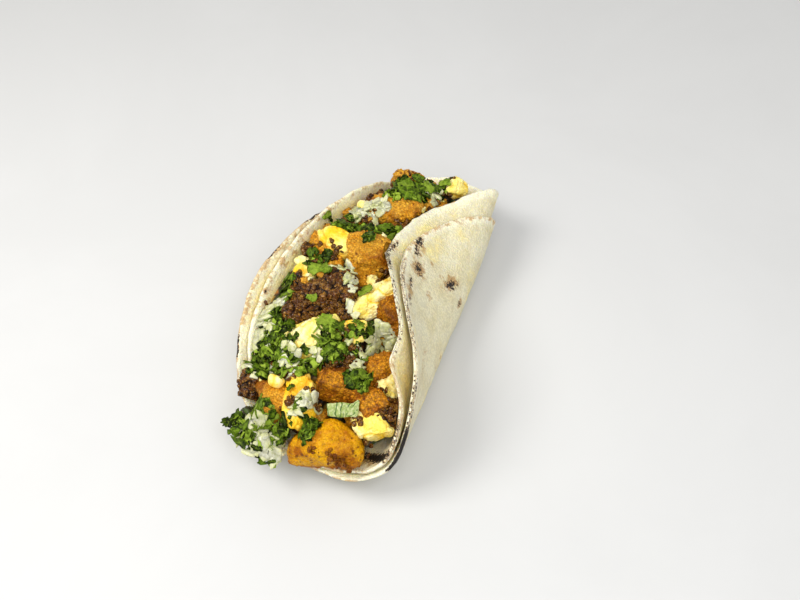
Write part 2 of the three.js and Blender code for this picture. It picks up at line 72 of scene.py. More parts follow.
def softNoise(points, size, seed):
    # random values at the corners of a cubic lattice, blended smoothly between, from -1 to 1
    place = points / size + 0.37 * seed
    base = np.floor(place).astype(np.int64)
    part = place - base
    fade = part ** 3 * (part * (part * 6 - 15) + 10)
    total = 0
    for corner in itertools.product((0, 1), repeat=3):
        weight = np.prod(np.where(corner, fade, 1 - fade), -1)
        total = total + weight * hashed(base + np.array(corner), seed)
    return total * 2 - 1


turned = np.array([[0.36, 0.48, -0.8], [-0.8, 0.6, 0.0], [0.48, 0.64, 0.6]])  # hides the lattice


def layeredNoise(points, size, seed, layers=3):
    # soft noise, plus half as much of it at half the size, and so on
    total, high = 0, 1
    for k in range(layers):
        total = total + high * softNoise(points, size, seed + k)
        points = points @ turned
        size, high = size / 2, high / 2
    return total


def softVectors(points, size, seed):
    # three soft noises as one vector for each point
    return np.stack([softNoise(points, size, seed + k) for k in range(3)], -1)


def pebbleNoise(points, size, seed, jitter=0.85):
    # distance to the nearest and the second nearest of scattered centres, and the nearest one's number
    place = points @ turned / size
    base = np.floor(place).astype(np.int64)
    nearest = np.full(place.shape[:-1], 9.0)
    second = nearest.copy()
    which = np.zeros_like(nearest)
    for step in itertools.product((-1, 0, 1), repeat=3):
        lattice = base + np.array(step)
        stray = np.stack([hashed(lattice, seed + k) for k in range(3)], -1) - 0.5
        distance = np.linalg.norm(place - lattice - 0.5 - jitter * stray, axis=-1)
        closer = distance < nearest
        second = np.where(closer, nearest, np.minimum(second, distance))
        which = np.where(closer, hashed(lattice, seed + 7), which)
        nearest = np.where(closer, distance, nearest)
    return nearest, second, which


def cubeBall(cuts):
    # six square grids, one on each side of a cube, pushed out onto a ball, with shared edges merged
    steps = np.tan(np.linspace(-1, 1, cuts + 1) * math.pi / 4)
    a, b = (grid.ravel() for grid in np.meshgrid(steps, steps, indexing="ij"))
    cell = np.arange(cuts * (cuts + 1)).reshape(cuts, cuts + 1)[:, :-1].ravel()
    square = np.stack([cell, cell + cuts + 1, cell + cuts + 2, cell + 1], -1)
    points, faces = [], []
    for axis, side in itertools.product(range(3), (-1, 1)):
        grid = np.empty((a.size, 3))
        grid[:, axis], grid[:, (axis + 1) % 3], grid[:, (axis + 2) % 3] = side, a, b
        faces.append((square if side > 0 else square[:, ::-1]) + len(points) * a.size)
        points.append(grid)
    points = np.vstack(points)
    _, first, same = np.unique(np.round(points * 1e6).astype(np.int64), axis=0,
                               return_index=True, return_inverse=True)
    points = points[first]
    faces = same.ravel()[np.vstack(faces)]
    return points / np.linalg.norm(points, axis=1, keepdims=True), faces


def closedFaces(rows, around):
    # triangles over rows of points carried round, closed by one middle point before the first row and
    # one after the last, which come at the end of the list of points
    i, j = np.meshgrid(np.arange(rows - 1), np.arange(around), indexing="ij")
    a, b = (i * around + j).ravel(), (i * around + (j + 1) % around).ravel()
    ring = np.arange(around)
    following = (ring + 1) % around
    last = (rows - 1) * around
    first, final = 0 * ring + rows * around, 0 * ring + rows * around + 1
    return np.vstack([np.stack([a, a + around, b + around], -1), np.stack([a, b + around, b], -1),
                      np.stack([ring, following, first], -1),
                      np.stack([last + following, last + ring, final], -1)])


def surfaceNormals(points, faces):
    # each point's normal is the sum of the normals of the faces round it
    corners = points[faces]
    if faces.shape[1] == 4:
        flat = np.cross(corners[:, 2] - corners[:, 0], corners[:, 3] - corners[:, 1])
    else:
        flat = np.cross(corners[:, 1] - corners[:, 0], corners[:, 2] - corners[:, 0])
    total = np.zeros_like(points)
    for k, axis in itertools.product(range(faces.shape[1]), range(3)):
        total[:, axis] += np.bincount(faces[:, k], flat[:, axis], len(points))
    return total / np.maximum(np.linalg.norm(total, axis=1, keepdims=True), 1e-9)


def raised(points, faces, high):
    # the points moved out along their normals
    return points + surfaceNormals(points, faces) * high[:, None]


def turnMatrix(roll, pitch, yaw):
    # turned about x, then y, then z, in degrees
    a, b, c = (math.radians(angle) for angle in (roll, pitch, yaw))
    aboutX = np.array([[1, 0, 0], [0, math.cos(a), -math.sin(a)], [0, math.sin(a), math.cos(a)]])
    aboutY = np.array([[math.cos(b), 0, math.sin(b)], [0, 1, 0], [-math.sin(b), 0, math.cos(b)]])
    aboutZ = np.array([[math.cos(c), -math.sin(c), 0], [math.sin(c), math.cos(c), 0], [0, 0, 1]])
    return aboutZ @ aboutY @ aboutX


# the fold, the same as the solid tortillas have

fold = {
    "reach": 75, "middleX": 3, "lift": 12.7, "flatPart": 0.25, "steps": 120,
    "low": {"start": 14, "turn": (1.05, 0.36, 0), "width": (28, 9, -9)},
    "high": {"start": 4, "turn": (2.14, 0.92, 0), "width": (47, 7, 0)},
}


def slope(t, s):
    # the sheet's angle: 0 at the fold, then each wall turns by an eased step that starts some way out;
    # how far it turns and how wide the step is are quadratics in s, the place along the fold
    def wall(side, distance):
        turn, width = (c[0] + c[1] * s + c[2] * s * s for c in (side["turn"], side["width"]))
        return turn * eased((distance - side["start"]) / width)
    return np.where(t >= 0, wall(fold["high"], t), -wall(fold["low"], -t))


def foldPoints(t, y, offset):
    # walk from the fold out to t in small steps along the slope, then step off along the normal
    s = y / fold["reach"]
    rise = np.maximum(0, np.abs(s) - fold["flatPart"]) / (1 - fold["flatPart"])
    step = t / fold["steps"]
    x = np.full(np.shape(t), float(fold["middleX"]))
    z = fold["lift"] * rise * rise
    for k in range(fold["steps"]):
        angle = slope((k + 0.5) * step, s)
        x = x + np.cos(angle) * step
        z = z + np.sin(angle) * step
    angle = slope(t, s)
    return np.stack([x - np.sin(angle) * offset, y + 0 * x, z + np.cos(angle) * offset], -1)


tortillas = {
    "tortilla_outer": {
        "y": 1.2, "t": 1.4, "halfLength": 73, "halfWidth": 74.3, "phase": 0.4, "offset": 0.0,
        "bumps": ((-38, 15, -1.8),), "seed": 3,
    },
    "tortilla_inner": {
        "y": 7.3, "t": 4.3, "halfLength": 78.2, "halfWidth": 75, "phase": 2.1, "offset": 2.9,
        "bumps": ((-37, 9, 6.4), (14, 10, 3.0)), "seed": 9,
    },
}
sheetForm = {
    "thickness": 2.0, "rings": (22, 66), "inside": 0.42, "turns": 480, "rimRound": 5, "wear": 0.012,
    "wearLength": 56, "rippleFrom": 42, "rippleFull": 74, "rippleHigh": 0.8, "rippleLength": 70,
    "ripplePhase": 0.9, "ragged": 0.7, "raggedLength": 9, "rimThin": 0.16, "rimUneven": 0.10,
    "unevenLength": 12, "swell": 0.24, "swellLength": 15, "swellFull": 30, "crease": 0.05,
    "creaseLength": 1.15, "creaseStray": 2.2, "strayLength": 22, "creaseFull": 20, "relief": 0.10,
    "reliefLength": 4.5, "toast": (0.05, 0.10), "maize": (17, 0.5), "nearRim": (0.9, 0.1),
    "rimHighlight": (0.93, 0.05),
}


def rimWave(sheet, t, y):
    # a slow ripple that grows towards the rims, with a few single waves on the high wall
    rim = eased((np.abs(t) - sheetForm["rippleFrom"]) / (sheetForm["rippleFull"] - sheetForm["rippleFrom"]))
    wave = np.sin(2 * math.pi * y / sheetForm["rippleLength"] + sheetForm["ripplePhase"])
    height = sheetForm["rippleHigh"] * wave * rim
    for middle, spread, high in sheet["bumps"]:
        height = height + np.where(t > 0, high * np.exp(-((y - middle) / spread) ** 2) * rim, 0)
    return height


def rimPoints(sheet, angle, reach=1.0, extra=0.0):
    # the round outline: t and y at an angle from the near end, reach from 0 in the middle to 1
    t = sheet["t"] + (sheet["halfWidth"] * reach + extra) * np.sin(angle)
    worn = 1 + sheetForm["wear"] * np.sin(2 * math.pi * t / sheetForm["wearLength"] + sheet["phase"])
    y = sheet["y"] - (sheet["halfLength"] * reach * worn + extra) * np.cos(angle)
    return t, y


def innerFace(turns, rings, keep):
    # the face that the filling lies on: points over the round outline, wherever keep allows their t
    sheet = tortillas["tortilla_inner"]
    angle, reach = np.meshgrid(np.linspace(0, 2 * math.pi, turns), np.linspace(0, 1, rings))
    t, y = rimPoints(sheet, angle, reach)
    kept = keep(t)
    t, y = t[kept], y[kept]
    return foldPoints(t, y, sheet["offset"] + sheetForm["thickness"] + rimWave(sheet, t, y))


def plainRim(name):
    # both faces of the solid sheet along its rim, to find where the frame has put it
    sheet = tortillas[name]
    angle = np.linspace(0, 2 * math.pi, 721)
    t, y = rimPoints(sheet, angle)
    wave = rimWave(sheet, t, y)
    sides = [foldPoints(t, y, sheet["offset"] + side + wave) for side in (0, sheetForm["thickness"])]
    return np.vstack(sides)


rim = plainRim("tortilla_outer")
low, high = (np.array(corner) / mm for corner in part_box("tortilla_outer"))
home = (low + high - rim.min(0) - rim.max(0)) / 2
home[2] = 0
print("frame is", np.round(home, 2), "mm from the fold's own middle")


def newObject(name, data):
    # an object with this data, linked to the scene
    made = bpy.data.objects.new(name, data)
    bpy.context.scene.collection.objects.link(made)
    return made


def buildPiece(name, shape, material, nodes, uv=None):
    # puts a shape into a mesh: its points in millimetres from the fold, its faces, which all have as
    # many corners, and its named values for each point; and hides the solids that it stands for
    points, faces, attributes = shape
    mesh = bpy.data.meshes.new(name)
    mesh.vertices.add(len(points))
    mesh.vertices.foreach_set("co", ((points + home) * mm).astype(np.float32).ravel())
    mesh.loops.add(faces.size)
    mesh.loops.foreach_set("vertex_index", faces.astype(np.int32).ravel())
    mesh.polygons.add(len(faces))
    mesh.polygons.foreach_set("loop_start", np.arange(0, faces.size, faces.shape[1], dtype=np.int32))
    mesh.update(calc_edges=True)
    mesh.polygons.foreach_set("use_smooth", np.ones(len(faces), bool))
    for key, values in attributes.items():
        mesh.attributes.new(key, "FLOAT", "POINT").data.foreach_set("value", values.astype(np.float32))
    if uv is not None:
        mesh.uv_layers.new(name="sheet").data.foreach_set("uv", uv[faces.ravel()].astype(np.float32).ravel())
    mesh.materials.append(material)
    piece = newObject(name, mesh)
    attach(piece, "root")
    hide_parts(*nodes)


# node groups and other helpers that several finishes use

def feed(tree, socket, value):
    # links another node's output to an input, or gives the input a value of its own
    if isinstance(value, bpy.types.NodeSocket):
        tree.links.new(value, socket)
    elif socket.type == "RGBA":
        socket.default_value = (*value, 1)
    else:
        socket.default_value = value


def setSockets(tree, node, **values):
    # feeds inputs by name, with _ for a space
    for key, value in values.items():
        feed(tree, node.inputs[key.replace("_", " ")], value)


def addNode(tree, kind, inputs=None, **settings):
    # a node with its settings, and its inputs given as values or as other nodes' outputs
    node = tree.nodes.new("ShaderNode" + kind)
    for key, value in settings.items():
        setattr(node, key, value)
    for key, value in (inputs or {}).items():
        feed(tree, node.inputs[key], value)
    return node


def maths(tree, operation, *values):
    # one operation on one or two values
    return addNode(tree, "Math", dict(enumerate(values)), operation=operation).outputs[0]


def ranged(tree, value, low, high, outLow=0.0, outHigh=1.0):
    # a smooth s from outLow to outHigh while the value goes from low to high
    inputs = {"Value": value, "From Min": low, "From Max": high, "To Min": outLow, "To Max": outHigh}
    return addNode(tree, "MapRange", inputs, interpolation_type="SMOOTHSTEP").outputs["Result"]


def noise(tree, vector, scale, detail, roughness=0.5, distortion=0.0):
    # soft random values from 0 to 1
    inputs = {"Vector": vector, "Scale": scale, "Detail": detail, "Roughness": roughness,
              "Distortion": distortion}
    return addNode(tree, "TexNoise", inputs).outputs[0]


def cells(tree, vector, scale):
    # scattered cells: the distance to the nearest middle, and that cell's own random numbers
    found = addNode(tree, "TexVoronoi", {"Vector": vector, "Scale": scale}).outputs
    return found["Distance"], addNode(tree, "SeparateColor", {"Color": found["Color"]}).outputs


def blended(tree, share, first, second, how="MIX"):
    # the first colour where share is 0 and the second where it is 1
    node = addNode(tree, "Mix", {0: share}, data_type="RGBA", blend_type=how)
    feed(tree, node.inputs[6], first)
    feed(tree, node.inputs[7], second)
    return node.outputs[2]


def tinted(tree, color, mask, strength, tint):
    # the colour, turned to the tint by mask times strength
    return blended(tree, maths(tree, "MULTIPLY", mask, strength), color, tint)


def shaded(tree, color, by, share=1.0):
    # the colour times another colour or value
    return blended(tree, share, color, by, "MULTIPLY")


def newGroup(name, inputs, outputs):
    # a group with a Vector input and the named ones, whose usual values say what kind they are
    group = bpy.data.node_groups.new(name, "ShaderNodeTree")
    sockets = [("Vector", "INPUT", "Vector", None)]
    for label, value in inputs.items():
        sockets.append((label, "INPUT", "Color" if isinstance(value, tuple) else "Float", value))
    sockets += [(label, "OUTPUT", kind, None) for label, kind in outputs.items()]
    for label, direction, kind, value in sockets:
        socket = group.interface.new_socket(name=label, in_out=direction, socket_type="NodeSocket" + kind)
        if value is not None:
            socket.default_value = value
    return group, group.nodes.new("NodeGroupInput").outputs, group.nodes.new("NodeGroupOutput").inputs


def makeMottle():
    # two colours in soft uneven patches, with finer patches inside them
    group, given, out = newGroup(
        "mottle", {"Patch": 200, "Light": (1, 1, 1, 1), "Dark": (0, 0, 0, 1), "Balance": 0.5},
        {"Color": "Color"})
    pattern = noise(group, given["Vector"], given["Patch"], 5.0, 0.62, 0.4)
    low, high = (maths(group, "ADD", given["Balance"], edge) for edge in (-0.14, 0.14))
    mask = ranged(group, pattern, low, high)
    feed(group, out["Color"], blended(group, mask, given["Light"], given["Dark"]))
    return group


def makeSpecks():
    # small dots of uneven size, scattered where another noise is high
    group, given, out = newGroup("specks", {"Dots": 900, "Size": 0.3, "Spread": 0.5}, {"Mask": "Float"})
    distance, chance = cells(group, given["Vector"], given["Dots"])
    radius = maths(group, "MULTIPLY", given["Size"], chance[0])
    inside = ranged(group, maths(group, "SUBTRACT", radius, distance), -0.05, 0.05)
    uneven = noise(group, given["Vector"], maths(group, "MULTIPLY", given["Dots"], 0.4), 2.0)
    kept = ranged(group, maths(group, "ADD", uneven, given["Spread"]), 0.95, 1.05)
    feed(group, out["Mask"], maths(group, "MULTIPLY", inside, kept))
    return group


def makeGrain():
    # height of a rough surface: soft lumps with fine grit on them
    group, given, out = newGroup(
        "grain", {"Lumps": 300, "Grit": 1200, "Grit share": 0.4}, {"Height": "Float"})
    lumps = noise(group, given["Vector"], given["Lumps"], 3.0, 0.6)
    grit = noise(group, given["Vector"], given["Grit"], 2.0, 0.7)
    fine = maths(group, "MULTIPLY", grit, given["Grit share"])
    feed(group, out["Height"], maths(group, "ADD", lumps, fine))
    return group


def makeCrumbs():
    # small round grains: each has its own tone, and a dome that falls to 0 between grains
    group, given, out = newGroup("crumbs", {"Size": 1000}, {"Tone": "Float", "Dome": "Float"})
    distance, chance = cells(group, given["Vector"], given["Size"])
    feed(group, out["Tone"], chance[1])
    feed(group, out["Dome"], ranged(group, distance, 0.0, 0.75, 1.0, 0.0))
    return group


mottle, specks, grain, crumbs = makeMottle(), makeSpecks(), makeGrain(), makeCrumbs()


def placed(tree, group, vector, **values):
    # a group in a material, with its own values
    node = addNode(tree, "Group", node_tree=group)
    setSockets(tree, node, Vector=vector, **values)
    return node.outputs


def mottled(tree, spot, patch, light, dark, balance=0.5):
    # uneven patches of two colours
    return placed(tree, mottle, spot, Patch=patch, Light=light, Dark=dark, Balance=balance)["Color"]


def dotted(tree, spot, dots, size, spread):
    # a mask of scattered dots
    return placed(tree, specks, spot, Dots=dots, Size=size, Spread=spread)["Mask"]


def read(tree, key):
    # what a shape says of each of its points
    return addNode(tree, "Attribute", attribute_name=key).outputs["Fac"]


def newFinish(name, uvMap=None):
    # a material, its tree, and the place on the piece or on its own map that its patterns follow
    material = bpy.data.materials.new(name)
    material.use_nodes = True
    tree = material.node_tree
    if uvMap:
        return material, tree, addNode(tree, "UVMap", uv_map=uvMap).outputs["UV"]
    return material, tree, addNode(tree, "TexCoord").outputs["Object"]


def finished(material, spot, color, relief, domes=None, **values):
    # the end of each finish: its colour, a bump from the grain and from any domes on it, and the
    # shader's constant values; relief is the scale of the lumps and of the grit, how much grit, the
    # depth in metres and the strength
    tree = material.node_tree
    lumps, grit, share, depth, strength = relief
    height = placed(tree, grain, spot, Lumps=lumps, Grit=grit, Grit_share=share)["Height"]
    if domes:
        height = maths(tree, "ADD", height, maths(tree, "MULTIPLY", *domes))
    bump = addNode(tree, "Bump", {"Height": height, "Distance": depth, "Strength": strength}).outputs[0]
    setSockets(tree, tree.nodes["Principled BSDF"], Base_Color=color, Normal=bump, **values)
    return material


def tortillaFinish():
    # cream corn dough with a fine grain and painted shade between its grains, a painted highlight along the
    # rim, toasted in patches, with char broken into dots where it is thin
    look = {
        "cream": (0.74, 0.66, 0.41), "pale": (0.82, 0.76, 0.53), "maize": (0.95, 0.79, 0.32),
        # rim is the colour of a painted highlight along the rim, where the edge catches the light
        "rim": (0.95, 0.90, 0.68), "toast": (0.47, 0.25, 0.06), "brown": (0.15, 0.055, 0.013),
        "char": (0.014, 0.010, 0.007),
    }
    material, tree, spot = newFinish("cornTortilla", "sheet")

    def uneven(scale, detail):
        # noise stretched so that a strength of 0.3 covers about 0.3 of the surface
        return ranged(tree, noise(tree, spot, scale, detail, 0.7), 0.28, 0.72)

    def covered(key, pattern, width):
        # 1 where pattern and strength together pass 1, with an edge that is soft by the width
        strength = read(tree, key)
        over = maths(tree, "ADD", maths(tree, "SUBTRACT", pattern, 1.0), strength)
        return maths(tree, "MULTIPLY", ranged(tree, over, -width, width), ranged(tree, strength, 0.03, 0.25))

    color = mottled(tree, spot, 9, look["cream"], look["pale"])
    grit = uneven(80, 3)
    for mask, strength, tint in (
            (covered("maize", uneven(14, 4), 0.45), 0.85, "maize"),
            (dotted(tree, spot, 70, 0.34, 0.42), 0.25, "maize"),
            # painted highlight: the rim turned paler, as if its edge caught the light
            (read(tree, "rim"), 0.85, "rim"),
            (covered("toast", uneven(30, 5), 0.3), 0.75, "toast"),
            (covered("char", maths(tree, "ADD", grit, 0.16), 0.16), 0.85, "brown"),
            (covered("char", grit, 0.05), 1.0, "char")):
        color = tinted(tree, color, mask, strength, look[tint])
    domes = placed(tree, crumbs, spot, Size=110)["Dome"]
    # painted shade: darker in the gaps between the small grains
    color = shaded(tree, color, ranged(tree, domes, 0.0, 0.5, 0.86, 1.0))
    return finished(material, spot, color, (40, 130, 0.5, 0.0006, 0.75), (domes, 0.45), Roughness=0.6,
                    Specular_IOR_Level=0.35, Subsurface_Weight=0.45, Subsurface_Radius=(1.0, 0.8, 0.4),
                    Subsurface_Scale=0.004)


def sheetPiece(name, marks, rimMarks, material):
    # a profile that runs from the middle of one face out over the round rim and back to the middle
    # of the other, carried round the disc; every point is then laid on the fold
    sheet, form = tortillas[name], sheetForm
    seed, half = sheet["seed"], form["thickness"] / 2
    few, many = form["rings"]
    start = 1 - half / sheet["halfWidth"]
    reach = np.concatenate([np.linspace(0, form["inside"], few, endpoint=False)[1:],
                            np.linspace(form["inside"], start, many)])
    cap = np.linspace(0, math.pi, form["rimRound"] + 2)[1:-1]
    rows = np.concatenate([reach, np.full(cap.size, start), reach[::-1]])
    extra = np.concatenate([0 * reach, half * np.sin(cap), 0 * reach])
    side = np.concatenate([1 + 0 * reach, np.cos(cap), -1 + 0 * reach])
    angle = np.arange(form["turns"]) / form["turns"] * 2 * math.pi
    rowGrid, angleGrid = np.meshgrid(rows, angle, indexing="ij")
    t, y = rimPoints(sheet, angleGrid, rowGrid, extra[:, None])
    plan = np.stack([t, y, np.full(t.shape, float(seed))], -1)
    first, wide = form["nearRim"]
    atRim = eased((rowGrid - first) / wide)
    ragged = layeredNoise(plan, form["raggedLength"], seed, 3) * form["ragged"] * atRim
    t = t + ragged * np.sin(angleGrid)
    y = y - ragged * np.cos(angleGrid)
    sides = side[:, None] + 0 * t
    uneven = form["rimUneven"] * softNoise(plan, form["unevenLength"], seed + 5) * atRim
    thin = 1 - form["rimThin"] * atRim + uneven
    swell = layeredNoise(plan, form["swellLength"], seed + 2, 3) * form["swell"]
    stray = form["creaseStray"] * softNoise(plan, form["strayLength"], seed + 8)
    creases = np.sin(t / form["creaseLength"] + stray) * form["crease"]
    creases = creases * eased(np.abs(t) / form["creaseFull"])
    facePlan = plan + sides[..., None] * np.array([0, 0, 40.0])  # far apart, so that the two faces differ
    relief = layeredNoise(facePlan, form["reliefLength"], seed + 3, 3) * form["relief"] + creases
    offset = sheet["offset"] + half + rimWave(sheet, t, y) + swell * eased(np.abs(t) / form["swellFull"])
    offset = offset + sides * (half * thin + relief * np.abs(sides))
    points = foldPoints(t, y, offset).reshape(-1, 3)

    least, more = form["toast"]
    size, most = form["maize"]
    yellow = eased((softNoise(plan, size, seed + 11) + 0.1) / 0.9) * most
    masks = {"char": np.zeros(t.shape), "toast": least + more * atRim, "maize": yellow}
    for kind, face, middleT, middleY, reachT, reachY, lean, strength in marks:
        on = eased((sides * face + 0.3) / 0.4)
        c, s = math.cos(math.radians(lean)), math.sin(math.radians(lean))
        dt, dy = t - middleT, y - middleY
        far = ((dt * c + dy * s) / reachT) ** 2 + ((dy * c - dt * s) / reachY) ** 2
        masks[kind] = np.maximum(masks[kind], strength * np.exp(-far) * on)
    degrees = (np.degrees(angleGrid) + 180) % 360 - 180
    inward = (1 - rowGrid) * sheet["halfWidth"] - extra[:, None]
    for kind, face, first, last, depth, strength in rimMarks:
        along = eased((degrees - first) / 4) * eased((last - degrees) / 4)
        on = eased((sides * face + 0.9) / 0.5)
        value = strength * along * np.exp(-np.maximum(inward - 1, 0) / depth) * on
        masks[kind] = np.maximum(masks[kind], value)
    # painted highlight along the rim: 1 on the edge, where it would catch the light
    first, wide = form["rimHighlight"]
    masks["rim"] = eased((rowGrid - first) / wide)

    def grow(values, first=0.0, last=0.0):
        # a grid's values as one list, with those of the two middle points at its end
        return np.append(values.ravel(), [first, last])

    faceLevels = sheet["offset"] + np.array([2, 0]) * half
    middles = foldPoints(np.full(2, sheet["t"]), np.full(2, sheet["y"]), faceLevels)
    uv = np.stack([grow(t, sheet["t"], sheet["t"]), grow(y, sheet["y"], sheet["y"])], -1) / 100
    uv = uv + grow(np.where(sides > 0, 2.0, 0.0), 2.0)[:, None]  # the inner face has its own part of the map
    shape = (np.vstack([points, middles]), closedFaces(rows.size, form["turns"]),
             {key: grow(mask) for key, mask in masks.items()})
    buildPiece(name + "_sheet", shape, material, [name], uv)


# where the sheets are charred, toasted or yellow: kind, face (1 is inside the fold), t, y, reach
# across and along, lean in degrees, and about how much of that place it covers
outerMarks = (
    ("char", -1, 68.5, 28, 1.7, 3.4, 12, 0.85), ("char", -1, 68.5, 22, 1.5, 2.0, 0, 0.75),
    ("char", -1, 66, 14, 2.5, 2.9, 0, 0.72), ("toast", -1, 66, 14, 4.8, 5.0, 0, 0.85),
    ("toast", -1, 68, 26, 3.6, 7, 0, 0.65), ("char", -1, 69.5, 3, 1.5, 3.2, 0, 0.55),
    ("char", -1, 70, -6, 1.3, 5, 0, 0.42), ("toast", -1, 70, -2, 2.4, 9, 0, 0.6),
    ("char", -1, 47.5, 21.5, 2.0, 4.2, 38, 0.72), ("toast", -1, 49, 22, 3.2, 6.2, 38, 0.95),
    ("char", -1, 39, 19, 1.2, 1.4, 0, 0.6), ("toast", -1, 39, 19, 2.2, 2.2, 0, 0.8),
    ("toast", -1, 57, 7, 1.8, 2.0, 0, 0.7), ("toast", -1, 60, 23, 1.5, 1.7, 0, 0.7),
    ("toast", -1, 34, -8, 5, 9, 20, 0.35), ("toast", -1, 52, -22, 4, 8, 0, 0.32),
    ("toast", -1, 20, -20, 10, 12, 20, 0.5), ("char", -1, 8, 25, 5, 3, 20, 0.5),
    ("toast", -1, 8, 25, 9, 7, 20, 0.6), ("toast", -1, -40, 10, 9, 7, 0, 0.6),
    ("char", -1, -40, 10, 3.5, 3, 0, 0.5), ("char", -1, -20, -38, 4, 3, 0, 0.5),
    # the maize where the two rims part (t 60, y -36) is yellow corn, and also brighter than the rest as a
    # painted glow of light through the sheet
    ("toast", -1, -20, -38, 8, 7, 0, 0.6), ("maize", 1, 60, -36, 14, 26, 0, 0.95),
    ("maize", 1, -66, -10, 9, 60, 0, 0.8),
)
# along the rims: kind, face, from and to in degrees from the near end, how deep, and how strong
outerRimMarks = (
    ("char", -1, 22, 43, 1.3, 1.3), ("char", -1, 38, 60, 0.6, 0.38), ("char", -1, 60, 100, 0.7, 0.29),
    ("toast", -1, 38, 104, 1.2, 0.35), ("char", -1, -60, -48, 1.0, 0.8), ("char", -1, -118, -104, 1.8, 0.7),
    ("toast", -1, -128, -78, 2.6, 0.85), ("char", -1, -94, -84, 1.4, 0.6),
    ("toast", -1, -80, 16, 1.2, 0.55), ("toast", -1, 100, 235, 1.4, 0.5), ("toast", 1, -130, -60, 1.6, 0.6),
)
innerMarks = (
    ("char", 1, 27, -60.5, 12, 2.4, -6, 1.25), ("toast", 1, 22, -62, 10, 4, -6, 0.7),
    ("maize", 1, -62, 10, 14, 70, 0, 0.95), ("maize", 1, 14, -66, 26, 9, 0, 0.6),
    ("toast", 1, -67, 4, 2.5, 16, 0, 0.5), ("toast", 1, -66, 38, 3, 10, 0, 0.6),
    ("toast", 1, -58, 22, 2, 7, 0, 0.3), ("toast", 1, -63, -22, 2, 9, 0, 0.4),
    ("char", 1, -66, -16, 1.1, 1.1, 0, 0.7), ("toast", 1, -66, -16, 2.6, 2.6, 0, 0.8),
    ("toast", 1, -10, -66, 8, 2.5, 0, 0.6), ("maize", -1, 66, 44, 12, 18, 0, 0.5),
    ("maize", 1, 60, -36, 16, 26, 0, 0.8), ("char", -1, 76.5, 20, 1.0, 3.4, 0, 0.5),
    ("toast", -1, 76.5, 20, 2.0, 5, 0, 0.6),
)
innerRimMarks = (
    ("char", 0, 84, 102, 0.8, 0.48), ("char", 0, 56, 86, 0.4, 0.24), ("toast", 0, 50, 108, 1.0, 0.2),
    ("char", 1, 28, 42, 0.5, 0.42), ("toast", 0, 20, 60, 1.1, 0.55), ("toast", 1, -30, 16, 1.6, 0.65),
    ("toast", -1, -130, -60, 1.4, 0.45), ("maize", 1, -150, -20, 4.0, 0.8),
    ("toast", 1, -150, -60, 1.2, 0.4),
)
doughLook = tortillaFinish()
clouds = []  # points of everything that toppings can lie on
sheetPiece("tortilla_outer", outerMarks, outerRimMarks, doughLook)
sheetPiece("tortilla_inner", innerMarks, innerRimMarks, doughLook)
print("tortillas made")


# the lumps of potato, egg and sausage: middle, size and turn, then what sets one apart: how hard its
# edges are, how high its grains stand, how brown or how torn it is, cuts as a normal and a distance,
# and browner spots as a place and a reach

potatoes = {
    "potato_front": dict(at=(5, -64, 21.5), size=(31, 18, 19), turn=(0, 4, 16), seed=11, tone="golden",
                         hard=7, grain=0.45,
                         cuts=((-0.8, 0.45, 0.4, 0.66), (0.75, 0.5, 0.42, 0.84), (0, -0.5, 0.8, 1.0)),
                         brownerSpots=((-3, -73, 24, 1.4), (6, -74, 12.5, 6), (0, -74, 12.5, 5.5),
                                 (13, -72, 13, 5.5), (-9, -71, 14, 5), (19, -66, 14, 4.5),
                                 (-9, -64, 27, 3), (15, -70.5, 18, 4.5))),
    "potato_top": dict(at=(-10, 14, 38), size=(19.5, 17, 17), turn=(-6, 0, 27), seed=12, tone="orange",
                       hard=11, brown=0.1),
    "potato_middle": dict(at=(4, -43, 32), size=(22, 14, 14), turn=(0, 8, 10), seed=13, tone="dark",
                          brownerSpots=((-3, -45, 36, 3.5), (-4, -48, 33, 4), (0, -42.5, 37.5, 3),
                                  (4, -41, 38, 2.5))),
    "potato_wall_side": dict(at=(14, -33, 33), size=(12, 12, 12), turn=(5, 0, 30), seed=14, tone="dark"),
    "potato_lower": dict(at=(16, -46, 28), size=(12, 12, 12), turn=(10, -8, 50), seed=15, tone="dark"),
    "potato_left": dict(at=(-19, -57, 25.5), size=(15, 14, 13), turn=(0, 10, 35), seed=16, tone="orange",
                        brown=0.3, brownerSpots=((-25, -60, 26, 4), (-23, -62, 23, 4))),
    "potato_far": dict(at=(-12, 45, 33.5), size=(23, 13, 13), turn=(0, -5, 8), seed=17, tone="orange"),
    "potato_far_tip": dict(at=(-14, 65, 32), size=(13, 12, 14), turn=(8, 0, 40), seed=18, tone="orange"),
    "potato_shaded": dict(at=(12, -8, 37), size=(15, 14, 13), turn=(0, 5, 65), seed=19, tone="dark"),
}
